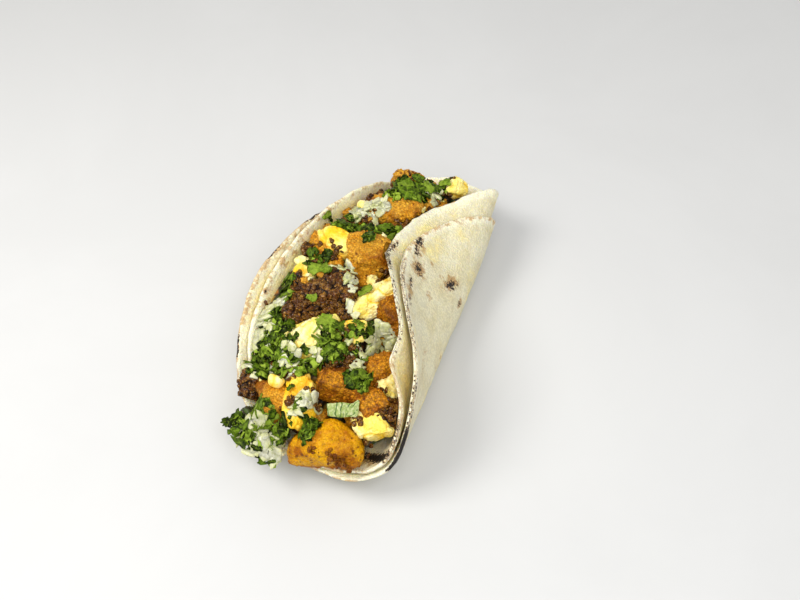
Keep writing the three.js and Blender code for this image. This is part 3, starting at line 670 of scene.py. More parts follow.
eggs = {
    "egg_curd_long": dict(at=(1, -4, 38.3), size=(27, 13.5, 13), turn=(0, -6, 62), seed=31),
    "egg_wedge": dict(at=(-15.5, -29, 37.5), size=(23, 16, 12.5), turn=(8, -6, 48), seed=32,
                      cuts=((0.1, 0.75, 0.5, 0.62), (-0.5, -0.6, 0.5, 0.78))),
    "egg_bright": dict(at=(-24.5, 15, 37), size=(17, 15, 14), turn=(0, 0, 30), tone="deep", seed=33),
    "egg_left_drop": dict(at=(-10, -54, 29.5), size=(25, 13, 12), turn=(0, -22, 108), tone="deep",
                          seed=34),
    "egg_point": dict(at=(20.5, -52.6, 25.5), size=(21, 14, 12), turn=(0, 12, 8), seed=35,
                      cuts=((0.7, -0.7, -0.1, 0.6), (0.72, 0.5, 0.45, 0.66), (-0.2, -0.5, 0.8, 0.82))),
    "egg_small": dict(at=(0, -24.5, 38), size=(11, 9, 9), turn=(0, 0, 20), tone="deep", seed=36),
    "egg_edge": dict(at=(-32, -3, 37), size=(9, 9, 9), turn=(0, 0, 20), tone="deep", seed=37),
    "egg_bean": dict(at=(-21, -53, 33), size=(7, 6, 5), turn=(0, 0, 10), seed=38, torn=0.25),
    "egg_under_wall": dict(at=(18, -37, 30), size=(11, 10, 10), turn=(0, 0, 0), seed=39),
    "egg_far": dict(at=(6, 74, 29.5), size=(12, 10, 10), turn=(0, 0, 30), seed=40),
}
sausages = {
    "sausage_clump": dict(at=(-20, -14, 37.5), size=(33, 18, 14), turn=(0, -3, 46), seed=51),
    "sausage_rim": dict(at=(-31, -54, 26.5), size=(11, 10, 11), turn=(0, 0, 0), seed=52),
    "sausage_middle": dict(at=(-1, -36, 36), size=(16, 11, 9), turn=(0, 0, 25), seed=53),
    "sausage_under_wall": dict(at=(24, -46, 26.5), size=(13, 11, 11), turn=(0, 0, 0), seed=54),
}
lumpForm = {"spacing": 0.36, "fewest": 13, "most": 84}


def cutShape(directions, normals, distances, hardness):
    # a body between soft planes: one over the radius is a power mean of one over each plane's distance
    hits = (np.maximum(directions @ normals.T, 0) / distances) ** hardness
    total = hits.sum(-1)
    return total ** (-1 / hardness), 1 - hits.max(-1) / total


def bodyPlanes(piece, bevels, closest, farthest):
    # the six sides of a box, some random bevels near its corners, and any cuts of the piece's own
    draw = np.random.default_rng(piece["seed"])
    corners = draw.choice([-1.0, 1.0], (bevels, 3)) * draw.uniform(0.35, 1.0, (bevels, 3))
    own = np.array(piece.get("cuts", ())).reshape(-1, 4)
    normals = np.vstack([np.eye(3), -np.eye(3), corners, own[:, :3]])
    normals /= np.linalg.norm(normals, axis=1, keepdims=True)
    return normals, np.concatenate([np.ones(6), draw.uniform(closest, farthest, bevels), own[:, 3]])


def lumpBody(piece, bevels, hardness, closest=1.02, farthest=1.25):
    # the plain body of a lump in its place, before its crust
    spacing = piece.get("spacing", lumpForm["spacing"])
    cuts = int(np.clip(max(piece["size"]) / spacing, lumpForm["fewest"], lumpForm["most"]))
    directions, faces = cubeBall(cuts)
    radius, edge = cutShape(directions, *bodyPlanes(piece, bevels, closest, farthest), hardness)
    body = directions * radius[:, None] * np.array(piece["size"]) / 2
    points = body @ turnMatrix(*piece["turn"]).T + np.array(piece["at"])
    return points, faces, edge


wallGrid = {"low": (-95.0, 0.0), "cell": 1.0, "shape": (190, 62), "room": 0.7, "open": 999.0, "past": 2}


def neighbours(grid):
    # the grid and its eight shifts by one cell
    return np.stack([np.roll(grid, step, (0, 1)) for step in itertools.product((-1, 0, 1), repeat=2)])


def wallMap(side, start):
    # how far in a wall's inner face comes, at each y and height: the high wall is side 1, the low one -1
    inner = innerFace(1200, 400, lambda t: t * side > start)
    place = ((inner[:, 1:] - np.array(wallGrid["low"])) / wallGrid["cell"]).astype(int)
    limit = np.full(wallGrid["shape"], wallGrid["open"])
    np.minimum.at(limit, tuple(place.T), side * inner[:, 0])
    for _ in range(wallGrid["past"]):  # the wall counts a little past its rim
        limit = np.where(limit == wallGrid["open"], neighbours(limit).min(0), limit)
    return side * limit


def onGrid(grid, values, place):
    # the values of a grid between its cells, by straight blending
    place = (place - np.array(grid["low"])) / grid["cell"] - 0.5
    place = np.clip(place, 0, np.array(grid["shape"]) - 1.001)
    base = place.astype(int)
    u, v = np.moveaxis(place - base, -1, 0)
    i, j = np.moveaxis(base, -1, 0)
    return ((1 - u) * ((1 - v) * values[i, j] + v * values[i, j + 1])
            + u * ((1 - v) * values[i + 1, j] + v * values[i + 1, j + 1]))


highWall, lowWall = wallMap(1, 8), wallMap(-1, 26)


def heldInside(points):
    # what would go through a wall is pressed flat against it
    highest, lowest = (onGrid(wallGrid, wall, points[..., 1:]) for wall in (highWall, lowWall))
    held = points.copy()
    held[..., 0] = np.clip(points[..., 0], lowest + wallGrid["room"], highest - wallGrid["room"])
    return held


# the relief of the three kinds: the size of each noise, then how high it stands

crustForm = {"hard": 6, "patch": 8, "bulge": (9, 0.85), "lump": (3.0, 0.28), "grain": (1.35, 1.2),
             "edge": (0.3, 0.6), "sunk": 0.3, "worn": (1.5, 0.5), "grainWide": 0.6, "crisp": (0.7, 0.45),
             "crispPatch": 6}
curdForm = {"bend": (7, 2.6), "fold": (9.5, 3.0), "small": (4.2, 0.8), "tear": (2.2, 0.9), "pore": (1.3, 0.6),
            "sunk": 1.25, "foldMost": 0.3, "tearMost": 0.5, "poreWide": 0.42}
minceForm = {"bend": (2.2, 0.7), "granule": (2.0, 0.5, 1.6), "fine": (0.95, 0.9), "bulge": 6, "sunk": 1.1,
             "granuleWide": 0.75, "fineWide": 0.6}


def potatoCrust(piece):
    # a cut block with a fried crust: slow bulges, then crumbly lumps, then small grains, the last two
    # higher at the worn edges
    form, seed = crustForm, piece["seed"]
    points, faces, edge = lumpBody(piece, bevels=5, hardness=piece.get("hard", form["hard"]))
    near, _, which = pebbleNoise(points, form["grain"][0], seed + 4)
    worn, uneven = form["worn"]
    rough = eased(edge * worn + uneven * softNoise(points, form["patch"], seed + 8))
    high = layeredNoise(points, form["bulge"][0], seed, 2) * form["bulge"][1]
    lumpHigh = form["lump"][1] + form["edge"][0] * rough
    grainHigh = piece.get("grain", form["grain"][1]) + form["edge"][1] * rough
    high = high + layeredNoise(points, form["lump"][0], seed + 2, 3) * lumpHigh
    high = high + np.clip(form["grainWide"] - near, 0, 1) * grainHigh * which - form["sunk"]
    atEdge, anywhere = form["crisp"]
    crisp = rough * atEdge + anywhere * layeredNoise(points, form["crispPatch"], seed + 9, 3)
    crisp = crisp + piece.get("brown", 0)
    # the crust made browner round the given spots
    brownerAmount = np.zeros(len(points))
    for x, y, z, reach in piece.get("brownerSpots", ()):
        far = np.linalg.norm(points - np.array([x, y, z]), axis=1)
        brownerAmount = np.maximum(brownerAmount, np.exp(-(far / reach) ** 2))
    return raised(points, faces, high), faces, {"crisp": crisp + brownerAmount}


def eggCurd(piece):
    # soft torn folds: the size of a warped noise puffs the curd out and leaves creases where it is zero
    form, seed, scale, tearing = curdForm, piece["seed"], piece.get("scale", 1), piece.get("torn", 1)
    points, faces, _ = lumpBody(piece, bevels=8, hardness=3 + 4 * tearing, closest=0.72, farthest=1.1)
    warp = softVectors(points, form["bend"][0] * scale, seed + 1) * form["bend"][1] * scale
    folds = np.abs(softNoise(points + warp, form["fold"][0] * scale, seed + 4))
    small = np.abs(softNoise(points + warp, form["small"][0] * scale, seed + 5))
    pores = pebbleNoise(points, form["pore"][0], seed + 7)[0]
    torn = np.abs(layeredNoise(points + 0.3 * warp, form["tear"][0], seed + 9, 3))
    high = np.minimum(folds, form["foldMost"]) * form["fold"][1] + small * form["small"][1] - form["sunk"]
    pits = np.clip(form["poreWide"] - pores, 0, 1) * form["pore"][1]
    high = high + np.minimum(torn, form["tearMost"]) * form["tear"][1] - pits
    return raised(points, faces, high * tearing), faces, {"puff": folds, "fine": small}


def sausageCrumble(piece):
    # minced meat: round granules of two sizes stand out of the body
    form, seed = minceForm, piece["seed"]
    points, faces, _ = lumpBody(piece, bevels=4, hardness=4, closest=0.95, farthest=1.2)
    bent = points + softVectors(points, form["bend"][0], seed + 5) * form["bend"][1]
    size, least, more = form["granule"]
    near, _, which = pebbleNoise(bent, size, seed)
    nearFine, _, whichFine = pebbleNoise(bent, form["fine"][0], seed + 20)
    dome = np.sqrt(np.clip(1 - (near / form["granuleWide"]) ** 2, 0, 1))
    high = dome * (least + more * which) + np.clip(form["fineWide"] - nearFine, 0, 1) * form["fine"][1]
    high = high + layeredNoise(points, form["bulge"], seed + 3, 2) - form["sunk"]
    return raised(points, faces, high), faces, {"dome": dome, "tone": 0.6 * which + 0.4 * whichFine}


def potatoFinish(name, light, gold, brown, grainShare):
    # golden crust of fine grains with painted shade between them, browner along its edges, with small dark
    # specks
    material, tree, spot = newFinish(name)
    grains = placed(tree, crumbs, spot, Size=1250)
    grainColor = blended(tree, grains["Tone"], brown, light)
    color = blended(tree, grainShare, mottled(tree, spot, 170, light, gold), grainColor)
    crisp = maths(tree, "ADD", read(tree, "crisp"), maths(tree, "MULTIPLY", grains["Tone"], 0.22))
    color = tinted(tree, color, ranged(tree, crisp, 0.55, 1.25), 0.85, brown)
    color = shaded(tree, color, mottled(tree, spot, 900, (1, 1, 1), (0.74, 0.6, 0.4)), 0.7)
    # painted shade: darker in the gaps between the grains
    color = shaded(tree, color, ranged(tree, grains["Dome"], 0.0, 0.5, 1 - 0.8 * grainShare, 1.0))
    color = tinted(tree, color, dotted(tree, spot, 560, 0.42, 0.5), 0.8, (0.10, 0.022, 0.004))
    color = tinted(tree, color, dotted(tree, spot, 1500, 0.4, 0.52), 0.55, (0.24, 0.06, 0.004))
    return finished(material, spot, color, (800, 2400, 0.5, 0.0006, 0.8), (grains["Dome"], 0.5),
                    Roughness=0.36, Specular_IOR_Level=0.12, Subsurface_Weight=0.06,
                    Subsurface_Radius=(1.0, 0.5, 0.1), Subsurface_Scale=0.0015, Coat_Weight=0.05,
                    Coat_Roughness=0.12)


def eggFinish(name, pale, yellow, deep, balance, streaked):
    # pale at the swollen folds, with painted shade of deep yellow in the creases
    material, tree, spot = newFinish(name)
    color = mottled(tree, spot, 110, pale, yellow, balance)
    # painted shade: deep yellow in the hollows between the folds, then again in the small creases
    color = blended(tree, ranged(tree, read(tree, "puff"), -0.03, 0.16), deep, color)
    crease = maths(tree, "SUBTRACT", 1.0, ranged(tree, read(tree, "fine"), 0.0, 0.12))
    color = tinted(tree, color, crease, 0.4, deep)
    color = shaded(tree, color, mottled(tree, spot, 430, (1, 1, 1), streaked, 0.46), 0.8)
    color = tinted(tree, color, dotted(tree, spot, 240, 0.5, 0.34), 0.3, (0.55, 0.25, 0.02))
    return finished(material, spot, color, (520, 1700, 0.35, 0.0005, 0.45), Roughness=0.4,
                    Specular_IOR_Level=0.25, Subsurface_Weight=0.15, Subsurface_Radius=(1.0, 0.75, 0.25),
                    Subsurface_Scale=0.0015, Coat_Weight=0.08, Coat_Roughness=0.15)


def sausageFinish():
    # dark brown granules with painted shade in the gaps between them, lighter patches and dots that are
    # partly fried colour and partly painted highlight, and oily gloss
    # light is partly the fried colour and partly a painted highlight
    look = {"dark": (0.022, 0.006, 0.001), "brown": (0.21, 0.060, 0.003), "light": (0.66, 0.32, 0.045)}
    material, tree, spot = newFinish("crumbledSausage")
    color = mottled(tree, spot, 480, look["brown"], look["light"], 0.57)
    color = tinted(tree, color, ranged(tree, read(tree, "tone"), 0.2, 0.8), 0.45, look["dark"])
    # painted shade: dark where a granule's dome falls away into the gap beside it
    color = blended(tree, ranged(tree, read(tree, "dome"), 0.3, 0.9), look["dark"], color)
    # lighter dots: partly fried colour, partly painted highlight
    color = tinted(tree, color, dotted(tree, spot, 950, 0.55, 0.58), 0.6, look["light"])
    domes = placed(tree, crumbs, spot, Size=1500)["Dome"]
    # painted shade in the gaps between the fine domes
    color = shaded(tree, color, ranged(tree, domes, 0.0, 0.6, 0.45, 1.0))
    return finished(material, spot, color, (900, 2400, 0.6, 0.0007, 0.9), (domes, 1.0), Roughness=0.26,
                    Specular_IOR_Level=0.14, Coat_Weight=0.3, Coat_Roughness=0.04)


potatoLooks = {kind: potatoFinish(kind + "Potato", *colors) for kind, colors in {
    "golden": ((0.84, 0.46, 0.003), (0.76, 0.34, 0.002), (0.33, 0.085, 0.002), 0.16),
    "orange": ((0.94, 0.52, 0.05), (0.82, 0.34, 0.004), (0.30, 0.080, 0.002), 0.45),
    "dark": ((0.82, 0.37, 0.016), (0.47, 0.125, 0.002), (0.13, 0.028, 0.001), 0.56),
}.items()}
eggLooks = {
    "pale": eggFinish("paleEgg", (0.95, 0.89, 0.50), (0.92, 0.75, 0.14), (0.84, 0.54, 0.02), 0.5,
                      (1.0, 0.94, 0.76)),
    "deep": eggFinish("yellowEgg", (0.95, 0.82, 0.27), (0.92, 0.60, 0.02), (0.80, 0.40, 0.006), 0.47,
                      (1.0, 0.86, 0.5)),
}
sausageLook = sausageFinish()

for name, piece in {**potatoes, **eggs, **sausages}.items():
    make, look, slot = {
        "potato": (potatoCrust, potatoLooks.get(piece.get("tone")), "fried_potato"),
        "egg": (eggCurd, eggLooks.get(piece.get("tone", "pale")), "scrambled_egg"),
        "sausage": (sausageCrumble, sausageLook, "crumbled_sausage"),
    }[name.split("_")[0]]
    points, faces, attributes = make(piece)
    points = heldInside(points)
    clouds.append(points)
    buildPiece(name + "_food", (points, faces, attributes), look, [name])
print("potato, egg and sausage made")


# the mixed filling under them

heap = {
    "from": -58, "to": 74, "rows": 250, "around": 300, "lowShare": (0.93, 0.74), "highShare": 0.6,
    "dome": (6.5, 9.5), "domePower": 0.7, "endPart": 0.14, "endDome": 4, "endShrink": 0.6, "base": 5.8,
    "capRows": 16, "cap": 3.5, "lump": (5.2, 2.6), "grain": (2.0, 0.9), "sunk": 2.2, "capSunk": 0.8,
    "lumpWide": 0.8, "grainWide": 0.7, "seed": 81,
}


def heapCore():
    # across each station: along the inner tortilla from the low side to the high one, then back over
    # a dome; both ends close as quarter rounds, and pebbles of two sizes stand out of top and ends
    sheet = tortillas["tortilla_inner"]
    share = np.linspace(0, 1, heap["rows"])[:, None]
    y = heap["from"] + (heap["to"] - heap["from"]) * share
    chord = sheet["halfWidth"] * np.sqrt(1 - ((y - sheet["y"]) / sheet["halfLength"]) ** 2)
    end = eased(np.minimum(share, 1 - share) / heap["endPart"])
    shrink = heap["endShrink"] + (1 - heap["endShrink"]) * end
    start, finish = heap["lowShare"]
    tLow, tHigh = -chord * (start + (finish - start) * share) * shrink, chord * heap["highShare"] * shrink
    half = heap["around"] // 2
    under = np.arange(half) / half
    t = tLow + (tHigh - tLow) * under
    bottom, first, last = (foldPoints(place, y + 0 * place, heap["base"]) for place in (t, tLow, tHigh))
    start, finish = heap["dome"]
    dome = heap["endDome"] + (start + (finish - start) * share - heap["endDome"]) * end
    top = last + (first - last) * under[None, :, None]
    top[..., 2] += dome * np.sin(math.pi * under) ** heap["domePower"]
    points = np.concatenate([bottom, top], 1)

    ease = np.linspace(0, 1, heap["capRows"], endpoint=False)[:, None, None] * math.pi / 2
    out = np.array([0, heap["cap"], 0]) * np.cos(ease)
    middle = points.mean(1, keepdims=True)
    nearCap, farCap = (middle[k] + (points[k] - middle[k]) * np.sin(ease + 0.04) for k in (0, -1))
    points = np.concatenate([nearCap - out, points, (farCap + out)[::-1]])
    rows = len(points)
    isTop = np.concatenate([0 * under, eased(np.sin(math.pi * under) * 4)])[None, :] + np.zeros((rows, 1))
    fromEnd = np.minimum(np.arange(rows), np.arange(rows)[::-1])[:, None]
    isCap = (fromEnd < heap["capRows"]) & (isTop < 0.5)
    points = np.vstack([points.reshape(-1, 3), points[0].mean(0), points[-1].mean(0)])
    faces = closedFaces(rows, heap["around"])

    near, second, which = pebbleNoise(points, heap["lump"][0], heap["seed"])
    nearFine, _, _ = pebbleNoise(points, heap["grain"][0], heap["seed"] + 1)
    high = np.clip(1 - (near / heap["lumpWide"]) ** 2, 0, 1) ** 0.7 * heap["lump"][1] - heap["sunk"]
    high = high + np.clip(heap["grainWide"] - nearFine, 0, 1) * heap["grain"][1]
    onCaps = isCap * (high[:-2].reshape(rows, -1) - heap["capSunk"])
    high = high * np.append(isTop.ravel(), [1, 1]) + np.append(onCaps.ravel(), [0, 0])
    return raised(points, faces, high), faces, {"kind": which, "crevice": second - near}


def fillingFinish():
    # each lump is egg, potato, meat or herbs, with painted shade in the gaps between
    material, tree, spot = newFinish("mixedFilling")
    ramp = addNode(tree, "ValToRGB", {"Fac": read(tree, "kind")})
    ramp.color_ramp.interpolation = "CONSTANT"
    stops = ((0.0, (0.66, 0.42, 0.05)), (0.26, (0.40, 0.15, 0.02)), (0.46, (0.07, 0.024, 0.008)),
             (0.72, (0.06, 0.10, 0.012)), (0.88, (0.52, 0.50, 0.28)))
    for k, (place, color) in enumerate(stops):
        stop = ramp.color_ramp.elements[k] if k < 2 else ramp.color_ramp.elements.new(place)
        stop.position, stop.color = place, (*color, 1)
    # painted shade: near black in the crevices where lumps meet
    gapShade = ranged(tree, read(tree, "crevice"), 0.0, 0.3)
    color = blended(tree, gapShade, (0.03, 0.018, 0.006), ramp.outputs[0])
    color = shaded(tree, color, mottled(tree, spot, 500, (1, 1, 1), (0.45, 0.38, 0.3)), 0.8)
    return finished(material, spot, color, (500, 1700, 0.5, 0.0005, 0.7), Roughness=0.45,
                    Specular_IOR_Level=0.35, Coat_Weight=0.08, Coat_Roughness=0.2)


spill = {"at": (-22.5, -68, 17.0), "size": (27, 13, 6), "turn": (24, 14, -27), "seed": 71}


def spillHeap():
    # the chopped herbs that spilled over the near end: a low lump with small pebbles
    seed = spill["seed"]
    points, faces, _ = lumpBody(spill, bevels=6, hardness=3, closest=0.85, farthest=1.2)
    near, second, which = pebbleNoise(points, 3.0, seed)
    high = np.sqrt(np.clip(1 - near ** 2, 0, 1)) * 1.2 - 1.2 + layeredNoise(points, 2.4, seed + 4, 3) * 0.6
    return raised(points, faces, high), faces, {"kind": 0.72 + 0.28 * which, "crevice": second - near}


fillingLook = fillingFinish()
core, faces, attributes = heapCore()
core = heldInside(core)
buildPiece("filling_core", (core, faces, attributes), fillingLook, ["filling"])
spilled = spillHeap()
buildPiece("spilled_herbs_heap", spilled, fillingLook, ["herb_spill"])
clouds.extend([core, spilled[0], innerFace(900, 200, lambda t: t < 26)])  # and the low wall's inside
print("filling made")


# a map of how high the food lies over each place on the plan

ground = {"low": (-60.0, -95.0), "cell": 0.5, "shape": (240, 380), "empty": -90, "none": -99.0,
          "least": 5, "spread": 6}


def heightMap(pointClouds):
    # the highest point in each cell; empty cells take the mean of what is round them
    height = np.full(ground["shape"], ground["none"])
    for points in pointClouds:
        place = ((points[:, :2] - np.array(ground["low"])) / ground["cell"]).astype(int)
        inside = ((place >= 0) & (place < np.array(ground["shape"]))).all(1)
        np.maximum.at(height, tuple(place[inside].T), points[inside, 2])
    for _ in range(ground["spread"]):
        around = neighbours(height)
        full = around > ground["empty"]
        mean = (around * full).sum(0) / np.maximum(full.sum(0), 1)
        height = np.where((height < ground["empty"]) & (full.sum(0) > 1), mean, height)
    return height


def softened(height, reach):
    # a mean over a square of cells, one direction after the other, twice, over the full cells alone
    full = (height > ground["empty"]).astype(float)
    total = height * full
    steps = range(-reach, reach + 1)
    for axis, _ in itertools.product((0, 1), range(2)):
        total, full = (sum(np.roll(grid, step, axis) for step in steps) for grid in (total, full))
    return np.where(full > 0, total / np.maximum(full, 1), ground["none"])


laying = {"above": 1.5, "wallRoom": 1, "bareDepth": 1.6, "soften": 3, "steepest": 1.6}


def spots(patches, height, draw, bare=None):
    # places in patches on the plan: middle x and y, half size in x and y, and how many; those with
    # nothing under them, or with the high wall over them, are left out, and with a map of the bare
    # core also those where something else lies on it
    places = np.vstack([np.array(patch[:2]) + draw.uniform(-1, 1, (patch[4], 2)) * np.array(patch[2:4])
                        for patch in patches])
    under = onGrid(ground, height, places)
    wall = onGrid(wallGrid, highWall, np.stack([places[:, 1], under + laying["above"]], -1))
    kept = (under > ground["least"]) & (places[:, 0] < wall - laying["wallRoom"])
    if bare is not None:
        kept &= under - onGrid(ground, bare, places) < laying["bareDepth"]
    return places[kept]


def laidFrames(height, places, draw, tilt, yaw=None):
    # for each place a turned frame that lies on the softened surface, leaning a little at random
    smooth, steepest = softened(height, laying["soften"]), laying["steepest"]
    slopes = [(onGrid(ground, smooth, places + way) - onGrid(ground, smooth, places - way)) / 2
              for way in np.eye(2)]
    lean = draw.uniform(-tilt, tilt, (len(places), 2)).T
    flat = [lean[k] - np.clip(slopes[k], -steepest, steepest) for k in (0, 1)]
    up = np.stack([*flat, np.ones(len(places))], -1)
    up /= np.linalg.norm(up, axis=1, keepdims=True)
    spun = draw.uniform(0, 2 * math.pi, len(places))
    if yaw is not None:
        spun = np.radians(yaw)
    ahead = np.stack([np.cos(spun), np.sin(spun), 0 * spun], -1)
    ahead -= up * (ahead * up).sum(1, keepdims=True)
    ahead /= np.linalg.norm(ahead, axis=1, keepdims=True)
    centres = np.concatenate([places, onGrid(ground, smooth, places)[:, None]], 1)
    return centres, np.stack([ahead, np.cross(up, ahead), up], 1)


def bedUnder(height, points, centres, form):
    # what the points lie on: the height below each, but no further down from their centre than the droop
    under = onGrid(ground, height, points[..., :2]) + form["clear"]
    return np.maximum(under, centres[:, None, 2] - form["droop"])


def inFrames(local, centres, frames):
    # each copy's own points turned into its frame and moved to its centre
    return np.einsum("nki,nij->nkj", local, frames) + centres[:, None]


def joined(points, faces):
    # many copies of one mesh: points are (copies, corners, 3), the faces repeat
    copies, corners = points.shape[:2]
    shifted = faces[None] + (np.arange(copies) * corners)[:, None, None]
    return points.reshape(-1, 3), shifted.reshape(-1, faces.shape[1])


def together(made):
    # several shapes as one, their points, faces and attributes one after the other
    starts = np.cumsum([0] + [len(points) for points, _, _ in made])
    faces = np.vstack([shape[1] + start for shape, start in zip(made, starts)])
    attributes = {key: np.concatenate([shape[2][key] for shape in made]) for key in made[0][2]}
    return np.vstack([shape[0] for shape in made]), faces, attributes


def cutOutline(angle, draw, count, form):
    # the plan of a chopped piece: a power mean of straight knife cuts at uneven angles
    cuts, sharp = form["cuts"], form["sharp"]
    facing = (np.arange(cuts) + draw.uniform(-0.3, 0.3, (count, cuts))) * 2 * math.pi / cuts
    facing = facing + draw.uniform(0, 2 * math.pi, (count, 1))
    far = draw.uniform(form["closest"], 1.0, (count, cuts))
    hits = np.maximum(np.cos(angle[None, :, None] - facing[:, None]), 0) / far[:, None]
    return (hits ** sharp).sum(-1) ** (-1 / sharp)


diceProfile = np.array([(0.84, 1), (1, 0.6), (1, -0.6), (0.84, -1)])


def standing(local, faces, half, height, places, draw, form):
    # small solid pieces in their places, raised by a share of their own height, each with its tone
    centres, frames = laidFrames(height, places, draw, form["tilt"])
    points = heldInside(inFrames(local, centres + frames[:, 2] * half[:, 2:] * form["stand"], frames))
    tone = np.repeat(draw.uniform(0, 1, len(places)), local.shape[1])
    return *joined(points, faces), tone


def diceSurface(height, places, draw, form):
    # a cut outline on the plan; a profile with small bevels runs from the middle of the top out and
    # back to the middle of the bottom; the whole is bent like the layer it was cut from
    count = len(places)
    angle = np.arange(form["spokes"]) / form["spokes"] * 2 * math.pi
    outline = cutOutline(angle, draw, count, form)[:, None]
    half = draw.uniform(form["least"], form["most"], (count, 3)) / 2
    reach, level = diceProfile.T[..., None]
    local = np.stack([outline * reach * np.cos(angle), outline * reach * np.sin(angle),
                      level + 0 * reach * outline], -1) * half[:, None, None]
    ends = half[:, None] * np.array([[0, 0, 1], [0, 0, -1]])
    local = np.concatenate([local.reshape(count, -1, 3), ends], 1)
    bend = draw.uniform(*form["bend"], (count, 1))
    local[..., 2] -= bend * local[..., 0] ** 2
    apart = np.arange(count)[:, None, None] * form["apart"]  # so that no two have the same noise
    local = local + form["rough"] * softNoise(local + apart, 1.6, 5)[..., None]
    faces = closedFaces(len(diceProfile), form["spokes"])
    points, faces, tone = standing(local, faces, half, height, places, draw, form)
    return points, faces, {"tone": tone}


def crumbSurface(height, places, draw, form):
    # small torn bits: a ball stretched unevenly and roughened by noise
    directions, faces = cubeBall(form["cuts"])
    half = draw.uniform(form["least"], form["most"], (len(places), 3)) / 2
    apart = np.arange(len(places))[:, None, None] * form["apart"]
    uneven = layeredNoise(directions + apart, 0.9, form["seed"], 2)
    local = directions * half[:, None] * (1 + form["rough"] * uneven)[..., None]
    points, faces, tone = standing(local, faces, half, height, places, draw, form)
    return points, faces, {"tone": tone, "puff": 0.1 + 0.4 * tone, "fine": 0.1 + 0.3 * tone,
                           "dome": 0.5 + 0.5 * tone, "crisp": 0.8 + 0.5 * tone}


def chunkSurface(height, places, draw, form):
    # small lumps of one kind, each made as the large ones are, half sunk in the core
    size = draw.uniform(form["least"], form["most"], (len(places), 3))
    at = laidFrames(height, places, draw, 0)[0] + size[:, 2:] * form["stand"] * np.array([0, 0, 1])
    turns = draw.uniform(-form["tip"], form["tip"], (len(places), 3))
    turns = turns + np.array([0, 0, 180]) * draw.uniform(0, 1, (len(places), 1))
    made = [form["shape"]({"at": at[k], "size": size[k], "turn": turns[k], "seed": 200 + 31 * k,
                           "scale": form["scale"], "spacing": form["spacing"]}) for k in range(len(places))]
    points, faces, attributes = together(made)
    return heldInside(points), faces, attributes


def bladeSurface(height, places, draw, form, yaw=None, given=None, bright=None):
    # a thin leaf: rings inside an outline, curled and ruffled, laid over what is below, with both
    # faces alike; a chopped bit has knife cuts, a leaf has three lobes with small teeth
    count, spokes, rings = len(places), form["spokes"], form["rings"]
    angle = np.arange(spokes) / spokes * 2 * math.pi
    phase = draw.uniform(0, 2 * math.pi, (count, 4, 1))
    outline = cutOutline(angle, draw, count, form)
    broad, fine = form["waves"]
    if form["lobed"]:
        waist, lobe, fullness = form["lobes"]
        lobes = waist + lobe * np.abs(np.cos(1.5 * angle + phase[:, 0])) ** fullness
        teeth = 1 + broad * np.sin(9 * angle + phase[:, 1]) + fine * np.sin(14 * angle + phase[:, 2])
        outline = np.minimum(lobes * teeth, outline * 1.5)
    else:
        waves = 1 + broad * np.sin(3 * angle + phase[:, 1]) + fine * np.sin(5 * angle + phase[:, 2])
        outline = outline * waves
    larger = draw.uniform(0, 1, (count, 1)) ** form["fewLarge"]
    size = larger * (form["most"] - form["least"]) + form["least"]
    if given is not None:
        size = given[:, None]
    ring = (np.arange(rings, 0, -1)[::-1] / rings)[None, :, None]
    reach = ring * (outline * size)[:, None, :]
    a = reach * np.cos(angle) * draw.uniform(*form["stretch"], (count, 1, 1))
    b = reach * np.sin(angle)
    curl = draw.uniform(-0.5, 1, (count, 1, 1)) * form["curl"]
    ruffle = form["ruffle"] * np.sin(3 * angle + phase[:, 3])[:, None] * ring ** 2 * size[:, None]
    w = -curl * b ** 2 + ruffle * draw.uniform(0.2, 1, (count, 1, 1))
    centres, frames = laidFrames(height, places, draw, form["tilt"], yaw)
    centres = centres + frames[:, 2] * draw.uniform(*form["lift"], (count, 1))
    local = np.concatenate([np.stack([a, b, w], -1).reshape(count, -1, 3), np.zeros((count, 1, 3))], 1)
    blade = inFrames(local, centres, frames)
    under = bedUnder(height, blade, centres, form)
    lowest = np.minimum(under, blade[..., 2] + form["climb"])
    blade[..., 2] = np.clip(blade[..., 2], lowest, under + form["float"])
    half = form["thickness"] / 2 * frames[:, 2:]
    body, middle = blade[:, :-1], blade[:, -1:]
    back = body.reshape(count, rings, spokes, 3)[:, ::-1].reshape(count, -1, 3)
    points = heldInside(np.concatenate([body + half, back - half, middle + half, middle - half], 1))
    # the shade power leaves most pieces of the first layer dark, as painted shade under those laid later, and
    # most of those laid over them light, as if lit
    if bright is None:
        bright = draw.uniform(0, 1, count) ** form["shade"]
    tone = np.repeat(bright, points.shape[1])
    vein = np.abs(np.sin(2.25 * angle + phase[:, 0]))[:, None] * ring
    vein = np.concatenate([vein, vein[:, ::-1]], 1).reshape(count, -1)
    vein = np.concatenate([vein, np.zeros((count, 2))], 1)
    points, faces = joined(points, closedFaces(2 * rings, spokes))
    return points, faces, {"tone": tone, "vein": vein.ravel()}


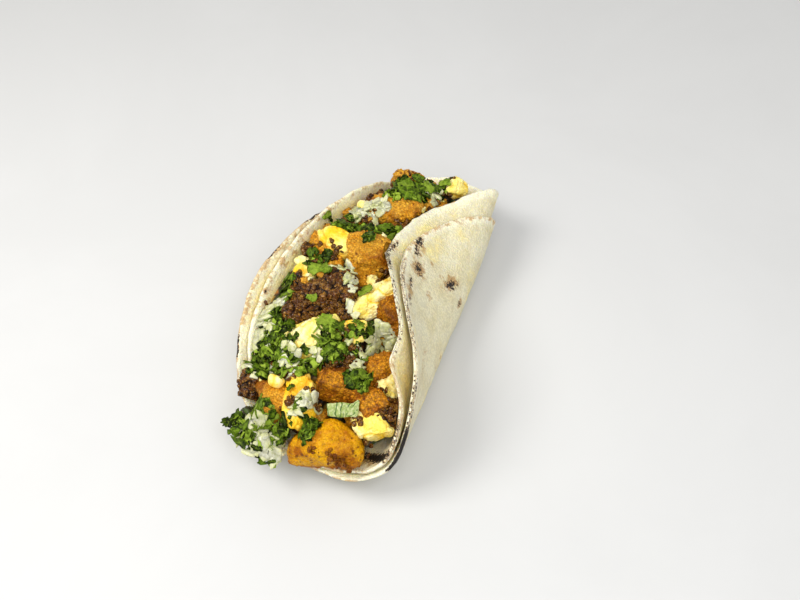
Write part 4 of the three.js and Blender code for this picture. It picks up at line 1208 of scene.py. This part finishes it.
def stemSurface(height, places, draw, form):
    # a thin round stalk whose path is an arc, laid over what is below
    count, rows, around = len(places), form["rows"], form["around"]
    along = np.linspace(-0.5, 0.5, rows)
    length = draw.uniform(form["least"], form["most"], (count, 1))
    bow = draw.uniform(-1, 1, (count, 1)) * form["bow"]
    heading = bow * along
    path = np.cumsum(np.stack([np.cos(heading), np.sin(heading)], -1), 1) * (length / rows)[..., None]
    path = path - path.mean(1, keepdims=True)
    spin = -np.arange(around) / around * 2 * math.pi
    thick = draw.uniform(form["thin"], form["thick"], (count, 1, 1))
    side = np.stack([-np.sin(heading), np.cos(heading)], -1)[:, :, None] * (thick * np.cos(spin))[..., None]
    level = thick * np.sin(spin) + 0 * path[..., :1]
    local = np.concatenate([path[:, :, None] + side, level[..., None]], -1).reshape(count, -1, 3)
    ends = np.concatenate([path[:, [0, -1]], np.zeros((count, 2, 1))], -1)
    local = np.concatenate([local, ends], 1)
    centres, frames = laidFrames(height, places, draw, form["tilt"])
    points = inFrames(local, centres, frames)
    lift = bedUnder(height, points, centres, form) - points[..., 2] + local[..., 2]
    points[..., 2] += np.clip(lift, -form["droop"], form["climb"])
    tone = np.repeat(draw.uniform(0.3, 1, count), local.shape[1])
    points, faces = joined(heldInside(points), closedFaces(rows, around))
    return points, faces, {"tone": tone, "vein": 0.1 + 0 * tone}


ridgedStrip = {
    "at": (7.9, -54.6, 32.6), "turn": (30, -2, 20), "half": (5.9, 2.7, 0.5), "rows": 90, "around": 36,
    "ridges": 5.5, "ridge": 0.1, "arch": 0.008, "wander": 1.3, "corner": 1.5, "torn": (1.7, 2.2),
    "square": (0.5, 0.7), "taper": 0.2, "waist": 0.06, "skew": 0.3, "slant": 0.35, "rest": 0.2, "seed": 21,
}


def stripSurface(form):
    # a flat bar with rounded edges carried along its length; its thickness swells at each rib, and it
    # is let down until it rests on what is below
    length, width, thick = form["half"]
    squareWide, squareTall = form["square"]
    along = np.linspace(-1, 1, form["rows"])[:, None]
    spin = -np.arange(form["around"]) / form["around"] * 2 * math.pi
    wide = np.sign(np.cos(spin)) * np.abs(np.cos(spin)) ** squareWide
    tall = np.sign(np.sin(spin)) * np.abs(np.sin(spin)) ** squareTall
    narrow = (1 - np.abs(along) ** 12 * form["taper"]) * (1 + form["waist"] * np.sin(5 * along + 2))
    a = along * length + form["skew"] * wide * along ** 3
    b = wide * width * narrow + form["corner"] * eased((along - 0.55) / 0.45) * eased(wide)
    slant = along - form["slant"] * wide * eased((along + 0.1) / 0.4)
    size, high = form["torn"]
    torn = softNoise(np.stack([a, b, 0 * a], -1), size, form["seed"]) * high
    rib = np.cos(math.pi * form["ridges"] * slant + torn + form["wander"] * np.sin(4 * along))
    w = tall * (thick + form["ridge"] * rib) - form["arch"] * a ** 2
    ends = [[side * length, 0, -form["arch"] * length ** 2] for side in (-1, 1)]
    local = np.vstack([np.stack([a, b, w], -1).reshape(-1, 3), ends])
    points = heldInside(local @ turnMatrix(*form["turn"]).T + np.array(form["at"]))
    points[:, 2] -= (points[:, 2] - onGrid(ground, heightMap(clouds), points[:, :2])).min() + form["rest"]
    return points, closedFaces(form["rows"], form["around"]), {"rib": np.append(rib.ravel(), [0, 0])}


def onionFinish():
    # cloudy white dice, faintly green, wet
    material, tree, spot = newFinish("dicedOnion")
    color = mottled(tree, spot, 260, (0.66, 0.65, 0.38), (0.44, 0.46, 0.18))
    color = tinted(tree, color, ranged(tree, read(tree, "tone"), 0.6, 1.0), 0.7, (0.74, 0.73, 0.50))
    return finished(material, spot, color, (450, 1500, 0.3, 0.0004, 0.4), Roughness=0.3,
                    Specular_IOR_Level=0.35, Subsurface_Weight=0.5, Subsurface_Radius=(1.0, 1.0, 0.5),
                    Subsurface_Scale=0.0025, Coat_Weight=0.12, Coat_Roughness=0.08)


def leafFinish():
    # deep green blades with lighter veins; each piece darker or lighter by its tone, which is partly its own
    # colour and partly painted shade under other pieces and painted light on top
    look = {"deep": (0.008, 0.018, 0.001), "green": (0.105, 0.180, 0.007), "bright": (0.36, 0.49, 0.05)}
    material, tree, spot = newFinish("corianderLeaf")
    tone = read(tree, "tone")
    color = mottled(tree, spot, 640, look["green"], look["deep"])
    # painted shade: pieces of low tone, most of all those lying under others, made much darker
    color = shaded(tree, color, ranged(tree, tone, 0.05, 0.5, 0.12, 1.0))
    # painted light: pieces of high tone, most of all those laid on top, made bright
    lit = mottled(tree, spot, 420, look["bright"], look["green"], 0.56)
    color = tinted(tree, color, ranged(tree, tone, 0.55, 1.0), 0.85, lit)
    vein = maths(tree, "SUBTRACT", 1.0, ranged(tree, read(tree, "vein"), 0.02, 0.22))
    color = tinted(tree, color, vein, 0.25, look["bright"])
    return finished(material, spot, color, (900, 2500, 0.3, 0.0003, 0.4), Roughness=0.4,
                    Specular_IOR_Level=0.07, Subsurface_Weight=0.06, Subsurface_Radius=(0.7, 1.0, 0.1),
                    Subsurface_Scale=0.0006)


def stripFinish():
    # pale green ribs with dark green lines between them
    material, tree, spot = newFinish("ridgedCelery")
    color = mottled(tree, spot, 420, (0.60, 0.60, 0.36), (0.34, 0.39, 0.12))
    color = blended(tree, ranged(tree, read(tree, "rib"), -1.0, -0.5), (0.05, 0.12, 0.006), color)
    color = shaded(tree, color, mottled(tree, spot, 900, (1, 1, 1), (0.45, 0.62, 0.2), 0.46), 0.8)
    return finished(material, spot, color, (600, 1800, 0.3, 0.0003, 0.4), Roughness=0.35,
                    Specular_IOR_Level=0.2, Subsurface_Weight=0.2, Subsurface_Radius=(0.8, 1.0, 0.4),
                    Subsurface_Scale=0.001, Coat_Weight=0.1, Coat_Roughness=0.2)


# what each kind of small thing is like

crumbForm = {"cuts": 3, "least": (1.2, 1.1, 0.9), "most": (3.4, 2.9, 2.4), "rough": 0.35, "tilt": 0.5,
             "stand": 0.25, "apart": 3.3, "seed": 3}
crustBitForm = dict(crumbForm, least=(0.9, 0.8, 0.7), most=(2.4, 2.1, 1.8))
diceForm = {"spokes": 12, "cuts": 4, "closest": 0.6, "sharp": 14, "least": (3.0, 2.5, 0.7),
            "most": (7.0, 5.2, 1.5), "bend": (-0.03, 0.07), "rough": 0.15, "tilt": 0.35, "stand": 0.2,
            "apart": 7.7}
broadForm = dict(diceForm, least=(5, 4, 0.8), most=(9, 6.5, 1.4), tilt=0.2)
bitForm = {"rings": 2, "spokes": 9, "lobed": False, "cuts": 5, "closest": 0.45, "sharp": 9,
           "waves": (0.16, 0.10), "thickness": 0.26, "least": 1.0, "most": 2.6, "fewLarge": 1.5,
           "curl": 0.16, "stretch": (1, 1.6), "ruffle": 0.3, "tilt": 0.95, "lift": (0.1, 0.8),
           "clear": 0.2, "climb": 1.6, "float": 2.4, "droop": 2.5, "shade": 1.5}
leafForm = {"rings": 5, "spokes": 48, "lobed": True, "cuts": 5, "closest": 0.45, "sharp": 9,
            "waves": (0.10, 0.06), "lobes": (0.56, 0.44, 0.6), "thickness": 0.28, "least": 1.8,
            "most": 3.4, "fewLarge": 1.5, "curl": 0.09, "stretch": (1, 1.6), "ruffle": 0.2, "tilt": 0.5,
            "lift": (0.3, 0.9), "clear": 0.25, "climb": 2.0, "float": 2.6, "droop": 3.0}
scrapForm = dict(leafForm, rings=4, spokes=24, lobed=False, waves=(0.16, 0.10), stretch=(1.9, 2.4),
                 curl=0.05, ruffle=0.14, tilt=0.3)
stemForm = {"rows": 9, "around": 6, "least": 3.5, "most": 8, "bow": 2.2, "thin": 0.3, "thick": 0.5,
            "tilt": 0.3, "clear": 0.25, "droop": 0.5, "climb": 3}
chunkForm = {"spacing": 0.5, "scale": 0.55, "least": (4.5, 4.0, 3.5), "most": (9.0, 7.0, 6.0),
             "stand": 0.15, "tip": 25}

# where they lie: middle x and y, half size in x and y, and how many
chunkPatches = (
    (-4, 68, 26, 9, 64), (-10, 56, 22, 10, 20), (-14, 36, 20, 14, 26), (-20, 8, 16, 18, 22),
    (-10, -22, 24, 16, 24), (0, -46, 24, 10, 20),
)
curdPatches = (
    (19, -42, 3, 2, 4), (-16, 0, 6, 4, 5), (5, 55, 6, 6, 8), (-24, -50, 5, 4, 4), (-2, 67, 5, 6, 10),
    (-29, -7, 1.5, 1.5, 3),
)
meatPatches = (
    (-34, 10, 3, 4, 7), (-27, 10, 5, 4, 6), (-11, -58, 3, 3, 6), (-5, -55, 3, 3, 6), (-42, -21, 1, 1, 1),
    (-19, -48, 6, 3, 14), (-24, -50, 4, 3, 8), (-28, 2, 4, 3, 5), (-3, -27, 3, 3, 5), (2, -38, 5, 3, 16),
    (8, -28, 4, 3, 6), (-30, -14, 4, 6, 8), (-12, -60, 3, 2, 5), (22, -44, 4, 4, 8), (-3, -56, 2, 2, 5),
    (-20, 6, 4, 4, 4), (-14, 38, 8, 6, 6), (-4, 56, 8, 6, 6), (14, -55, 3, 2, 4), (-16, -20, 9, 6, 12),
    (-6, 68, 16, 8, 40), (2, 7, 5, 5, 16), (20, -60, 2, 1.5, 3), (-27, -43, 3, 2, 6),
    (-34, -42, 1.5, 1.5, 3),
)
crustPatches = (
    (8, -71.5, 8, 1.5, 16), (-14, -63, 2, 2, 4), (13, -70.5, 5, 1.5, 14), (-2, 40, 8, 5, 5),
    (14, -40, 4, 3, 4), (-12, 60, 9, 9, 12),
)
onionPatches = (
    (-25, -44, 4, 3, 5), (-16, -45, 5, 3, 5), (-9, -39, 4, 3, 2), (-22, -39, 3, 2, 3), (-36, -48, 2, 2, 2),
    (-33, -21, 3, 3, 5), (-36, -27, 3, 3, 5), (-34, -35, 3, 2, 3), (-17, 3, 4, 3, 5), (-11, -5, 3, 4, 6),
    (10, -21, 4, 5, 14), (-3, -28, 3, 2, 2), (5, -32, 3, 3, 3), (7, -38, 3, 3, 5), (-11, -41, 4, 3, 3),
    (-39, -26, 2.5, 5, 8), (-37, -36, 2, 4, 5), (-7, -57, 3, 3, 5), (-4, -54, 2, 2, 3), (-7, -61, 2, 2, 3),
    (-31, -51, 2, 2, 3), (-23, 36, 5, 3, 10), (-29, 37, 3, 3, 4), (-19, 42, 5, 3, 9), (-2, 61, 5, 4, 8),
    (-5, -15, 3, 2, 3), (-20, -45, 5, 3, 3),
)
spillOnions = (
    (-16, -71, 6, 4, 9), (-23, -68, 5, 4, 7), (-20, -75, 4, 2, 3),
)
broadOnions = (
    (-21, -67.3, 1.5, 1, 2), (-13.5, -74, 2.5, 1, 4), (-17, -71.5, 1, 1, 2),
)
topOnions = (
    (10, -20, 4, 4, 9), (7, -25, 3, 3, 4), (-37, -22, 2, 2, 3), (-40, -27, 1.5, 3, 4), (-36, -33, 2, 2, 3),
    (-35, -48, 1, 1, 2), (-37, -38, 1, 2, 2), (-22, -39, 2, 1, 2), (-13, -36, 1.5, 1, 1), (-17, 3, 3, 3, 4),
    (-11, -5, 2, 3, 3), (-33.5, -50, 0.5, 0.5, 1), (-11, -41, 3, 2, 1), (-24, -43, 3, 2, 2),
    (-17, -46, 3, 2, 2), (-7, -57, 2, 2, 4), (-4, -54, 1, 1, 2), (-7, -61, 1, 2, 2), (-23, 36, 4, 2, 6),
    (-29, 37, 2, 2, 3), (-19, 42, 4, 3, 8), (-1, 64, 3, 3, 5), (-2.5, 62, 3, 3, 4), (-15, -72, 5, 3, 3),
    (-23, -67, 3, 2, 3), (5, -31.5, 2, 2, 1), (7.3, -38, 2, 2, 2), (-21, 0, 1.5, 1, 2),
    (-18, 2.5, 1.5, 1, 2), (-15, 4.5, 1.5, 1, 2),
)
bitPatches = (
    (-30, -44, 4, 4, 50), (-30, -51, 3, 2, 20), (-18, -45, 6, 4, 50), (-24, -43, 4, 3, 28),
    (-13, -41, 4, 4, 22), (-4, -36, 4, 4, 48), (-8, -31, 3, 4, 30), (-35, -28, 3, 6, 30),
    (-36, -12, 2, 5, 22), (-32, -20, 3, 3, 8), (-32, -38, 4, 4, 54), (-36, -45, 2, 3, 22),
    (-28, -31, 3, 3, 26), (-24, -38, 4, 3, 22), (5, -21, 1.5, 4, 16), (9, -43, 4, 3, 46),
    (5, -33, 4, 3, 12), (-26, 24, 5, 3, 34), (-18, 28, 6, 3, 60), (-9, 32, 5, 3, 34), (-12, 18, 1.5, 3, 10),
    (-29, 3, 4, 5, 30), (-23, -1, 4, 3, 10), (-14, 53, 4, 5, 70), (-7, 55, 4, 5, 60), (-2, 65, 4, 4, 36),
    (-11, 59, 6, 3, 50), (-1, 71, 3, 3, 16), (-1, -65, 2, 4, 28), (-6, -61, 2, 2, 6),
    (-37, 29, 0.8, 0.8, 2), (-28, 34, 4, 4, 12), (0, -26, 3, 3, 10),
)
spillBits = (
    (-27, -69, 7, 4, 38), (-22, -64, 5, 3, 26), (-18, -71, 7, 5, 24), (-11, -66, 2, 2, 16),
    (-14, -76, 4, 2, 8), (-32, -68.5, 2.2, 2, 8),
)
stemPatches = (
    (-30, -44, 5, 5, 5), (-18, -45, 6, 4, 5), (-9, -30, 5, 5, 4), (-18, 28, 8, 4, 5), (-12, 52, 6, 5, 5),
    (-22, -69, 9, 5, 9), (-13, -30, 1, 1, 2), (-35, -15, 2, 6, 3),
)
wholeLeaves = (  # x, y, reach, turned by, how bright
    (-11.5, -26, 3.0, 20, 0.8), (-6.5, -25.5, 3.2, 80, 0.3), (-12.5, 18.5, 2.8, 100, 0.35),
    (-3.4, -5.2, 3.7, 125, 0.85), (-21, -18, 1.9, 20, 0.8), (-27, -2, 3.2, 0, 0.8),
    (-22.5, -3, 2.6, -30, 0.75), (-33, 6, 2.6, 60, 0.4), (-37, -9, 3.0, 90, 0.6), (-35, -14, 2.6, 40, 0.2),
    (-27, 24, 2.8, 30, 0.3), (-20, 27, 3.2, 0, 0.55), (-12, 31, 3.0, 20, 0.6), (-16, 25, 2.6, 50, 0.2),
    (-16, 52, 3.4, 10, 0.5), (-9, 51, 3.6, -20, 0.6), (-12, 58, 3.6, 40, 0.75), (-4, 63, 3.4, 15, 0.8),
    (-1, 66, 3.2, 60, 0.4), (-7, 59, 3.8, 0, 0.6), (-17, 57, 3.2, 80, 0.3), (-9, 64, 3.0, 30, 0.6),
    (2, 70, 2.6, 0, 0.8), (-3, 57, 3.2, 70, 0.35), (9, -42, 2.8, 80, 0.7), (7.5, -45, 2.8, 95, 0.3),
    (-1, -64, 2.8, 75, 0.3), (-2.5, -67, 2.6, 60, 0.6), (-13.5, -54.5, 1.8, 10, 0.5),
    (-34.6, -69.2, 2.3, 70, 0.2), (-22, -63.5, 2.6, 30, 0.65), (-30, -72, 2.2, 10, 0.5),
    (-12.5, -67, 2.4, 80, 0.15), (-36, -45, 2.8, 30, 0.6), (-31, -49, 2.4, 60, 0.6),
    (-16, -44, 2.6, 10, 0.6), (-5, -37, 2.8, 60, 0.4), (-24, -46, 2.4, 45, 0.6), (5, -21, 2.4, 80, 0.3),
    (0, -22.5, 2.0, 30, 0.7),
)
leafScraps = (  # x, y, half width, turned by, how bright
    (-26, -75, 1.9, -10, 0.3), (-19.5, -74.8, 1.6, 8, 0.15), (-10.9, -65, 2.0, -46, 0.12),
    (-12.5, -77, 1.3, 37, 0.3), (-23.5, -62, 1.9, 69, 0.75), (-34, -69.5, 1.3, -46, 0.1),
    (-26.7, -69.6, 1.8, 77, 0.6), (-18.6, -73.5, 1.2, -57, 0.9), (-2.1, -67.5, 1.3, 94, 0.15),
    (-11.5, -69.7, 1.4, 52, 0.5), (-30, -71, 1.6, 30, 0.4), (-15, -66, 1.5, 100, 0.7),
)

smallThings = {}


def lay(name, surface, patches, form, seed, bare=None):
    # scatter small pieces of one kind, and add them to what later pieces lie on
    height, draw = heightMap(clouds), np.random.default_rng(seed)
    made = surface(height, spots(patches, height, draw, bare), draw, form)
    clouds.extend([made[0], made[0][made[1]].mean(1)])
    smallThings.setdefault(name, []).append(made)
    print(name, len(made[1]))


# small things in the order they fell

bareCore = heightMap([core])
allBits = bitPatches + spillBits
overShare = 0.6  # of the herb bits that lie under the onion, as many again lie over it
overBits = [(*patch[:4], round(patch[4] * overShare)) for patch in allBits]
chunkShapes = {"potato_chunks": potatoCrust, "sausage_chunks": sausageCrumble, "egg_chunks": eggCurd}
for name, shape in chunkShapes.items():
    lay(name, chunkSurface, chunkPatches, dict(chunkForm, shape=shape), len(name), bareCore)
lay("egg_crumbs", crumbSurface, curdPatches, crumbForm, 61)
lay("crust_crumbs", crumbSurface, crustPatches, crustBitForm, 62)
lay("herb_bits", bladeSurface, allBits, bitForm, 65)
lay("onion_dice", diceSurface, onionPatches + spillOnions, diceForm, 63)
lay("meat_crumbs", crumbSurface, meatPatches, crumbForm, 64)
lay("herb_bits", bladeSurface, overBits, dict(bitForm, most=2.3, shade=0.85), 67)
lay("onion_dice", diceSurface, topOnions, diceForm, 66)
lay("onion_dice", diceSurface, broadOnions, broadForm, 70)
lay("herb_stems", stemSurface, stemPatches, stemForm, 68)
onionLook, leafLook = onionFinish(), leafFinish()
both = ["filling", "herb_spill"]
for name, look, slot, nodes in (
        ("potato_chunks", potatoLooks["orange"], "fried_potato", ["filling"]),
        ("sausage_chunks", sausageLook, "crumbled_sausage", ["filling"]),
        ("egg_chunks", eggLooks["pale"], "scrambled_egg", ["filling"]),
        ("egg_crumbs", eggLooks["pale"], "scrambled_egg", ["filling"]),
        ("crust_crumbs", potatoLooks["dark"], "fried_potato", ["filling"]),
        ("meat_crumbs", sausageLook, "crumbled_sausage", ["filling"]),
        ("herb_bits", leafLook, "herbs_and_onion", both), ("onion_dice", onionLook, "herbs_and_onion", both),
        ("herb_stems", leafLook, "herbs_and_onion", both)):
    buildPiece(name, together(smallThings[name]), look, nodes)
strip = stripSurface(ridgedStrip)
clouds.append(strip[0])
buildPiece("ridged_strip", strip, stripFinish(), ["filling"])
height = heightMap(clouds)
leaves = together([bladeSurface(height, rows[:, :2], np.random.default_rng(69), form, *rows[:, [3, 2, 4]].T)
                   for rows, form in ((np.array(wholeLeaves), leafForm), (np.array(leafScraps), scrapForm))])
buildPiece("coriander_leaves", leaves, leafLook, both)
print("toppings laid")


# floor, light and camera

floorForm = {"half": 2.0, "level": -0.0004, "patch": 6, "light": (0.62, 0.62, 0.61),
             "dark": (0.60, 0.60, 0.59), "roughness": 0.8}
lights = {
    "key": {"at": (-0.30, -0.20, 0.52), "size": 0.3, "power": 2.7, "color": (1.0, 0.98, 0.95)},
    "back": {"at": (0.25, 0.38, 0.5), "size": 0.5, "power": 0.6, "color": (1.0, 1.0, 1.0)},
    "fill": {"at": (0.22, -0.32, 0.52), "size": 0.4, "power": 2.3, "color": (0.97, 0.98, 1.0)},
}
worldLight = {"color": (1.0, 1.0, 1.0), "strength": 0.48}
cameraView = {"azimuth": 22.29, "elevation": 51.28, "lens": 46.97, "sensor": 36, "distance": 450,
              "slide": (-8.02, -19.66), "clip": (0.01, 10)}


def makeFloor():
    # one square, a hair below the object
    mesh = bpy.data.meshes.new("studio_floor")
    corners = [(x * floorForm["half"], y * floorForm["half"], floorForm["level"])
               for x, y in ((-1, -1), (1, -1), (1, 1), (-1, 1))]
    mesh.from_pydata(corners, [], [(0, 1, 2, 3)])
    material, tree, spot = newFinish("paleFloor")
    color = mottled(tree, spot, floorForm["patch"], floorForm["light"], floorForm["dark"])
    setSockets(tree, tree.nodes["Principled BSDF"], Base_Color=color,
               Roughness=floorForm["roughness"])
    mesh.materials.append(material)
    newObject("studio_floor", mesh)


def makeLights():
    # square area lights that all face the object, and an even world
    for name, light in lights.items():
        lamp = bpy.data.lights.new(name, "AREA")
        lamp.shape, lamp.size = "SQUARE", light["size"]
        lamp.energy, lamp.color = light["power"], light["color"]
        holder = newObject(name, lamp)
        holder.location = light["at"]
        holder.rotation_euler = (-holder.location).to_track_quat("-Z", "Y").to_euler()
    world = bpy.data.worlds.new("studio")
    world.use_nodes = True
    backdrop = world.node_tree.nodes["Background"]
    backdrop.inputs["Color"].default_value = (*worldLight["color"], 1)
    backdrop.inputs["Strength"].default_value = worldLight["strength"]
    bpy.context.scene.world = world
    bpy.context.scene.view_settings.view_transform = "Standard"


def makeCamera():
    # it looks along the azimuth and elevation, and the fold's own middle is seen a little off centre
    a, e = math.radians(cameraView["azimuth"]), math.radians(cameraView["elevation"])
    right = np.array([math.cos(a), math.sin(a), 0])
    ahead = np.array([-math.sin(a) * math.cos(e), math.cos(a) * math.cos(e), -math.sin(e)])
    up = np.cross(right, ahead)
    slideX, slideY = cameraView["slide"]
    place = -slideX * right - slideY * up - cameraView["distance"] * ahead + home
    camera = bpy.data.cameras.new("camera")
    camera.lens, camera.sensor_width = cameraView["lens"], cameraView["sensor"]
    camera.clip_start, camera.clip_end = cameraView["clip"]
    holder = newObject("camera", camera)
    turn = np.eye(4)
    turn[:3, 0], turn[:3, 1], turn[:3, 2], turn[:3, 3] = right, up, -ahead, place * mm
    holder.matrix_world = Matrix(turn)
    bpy.context.scene.camera = holder


makeFloor()
makeLights()
makeCamera()
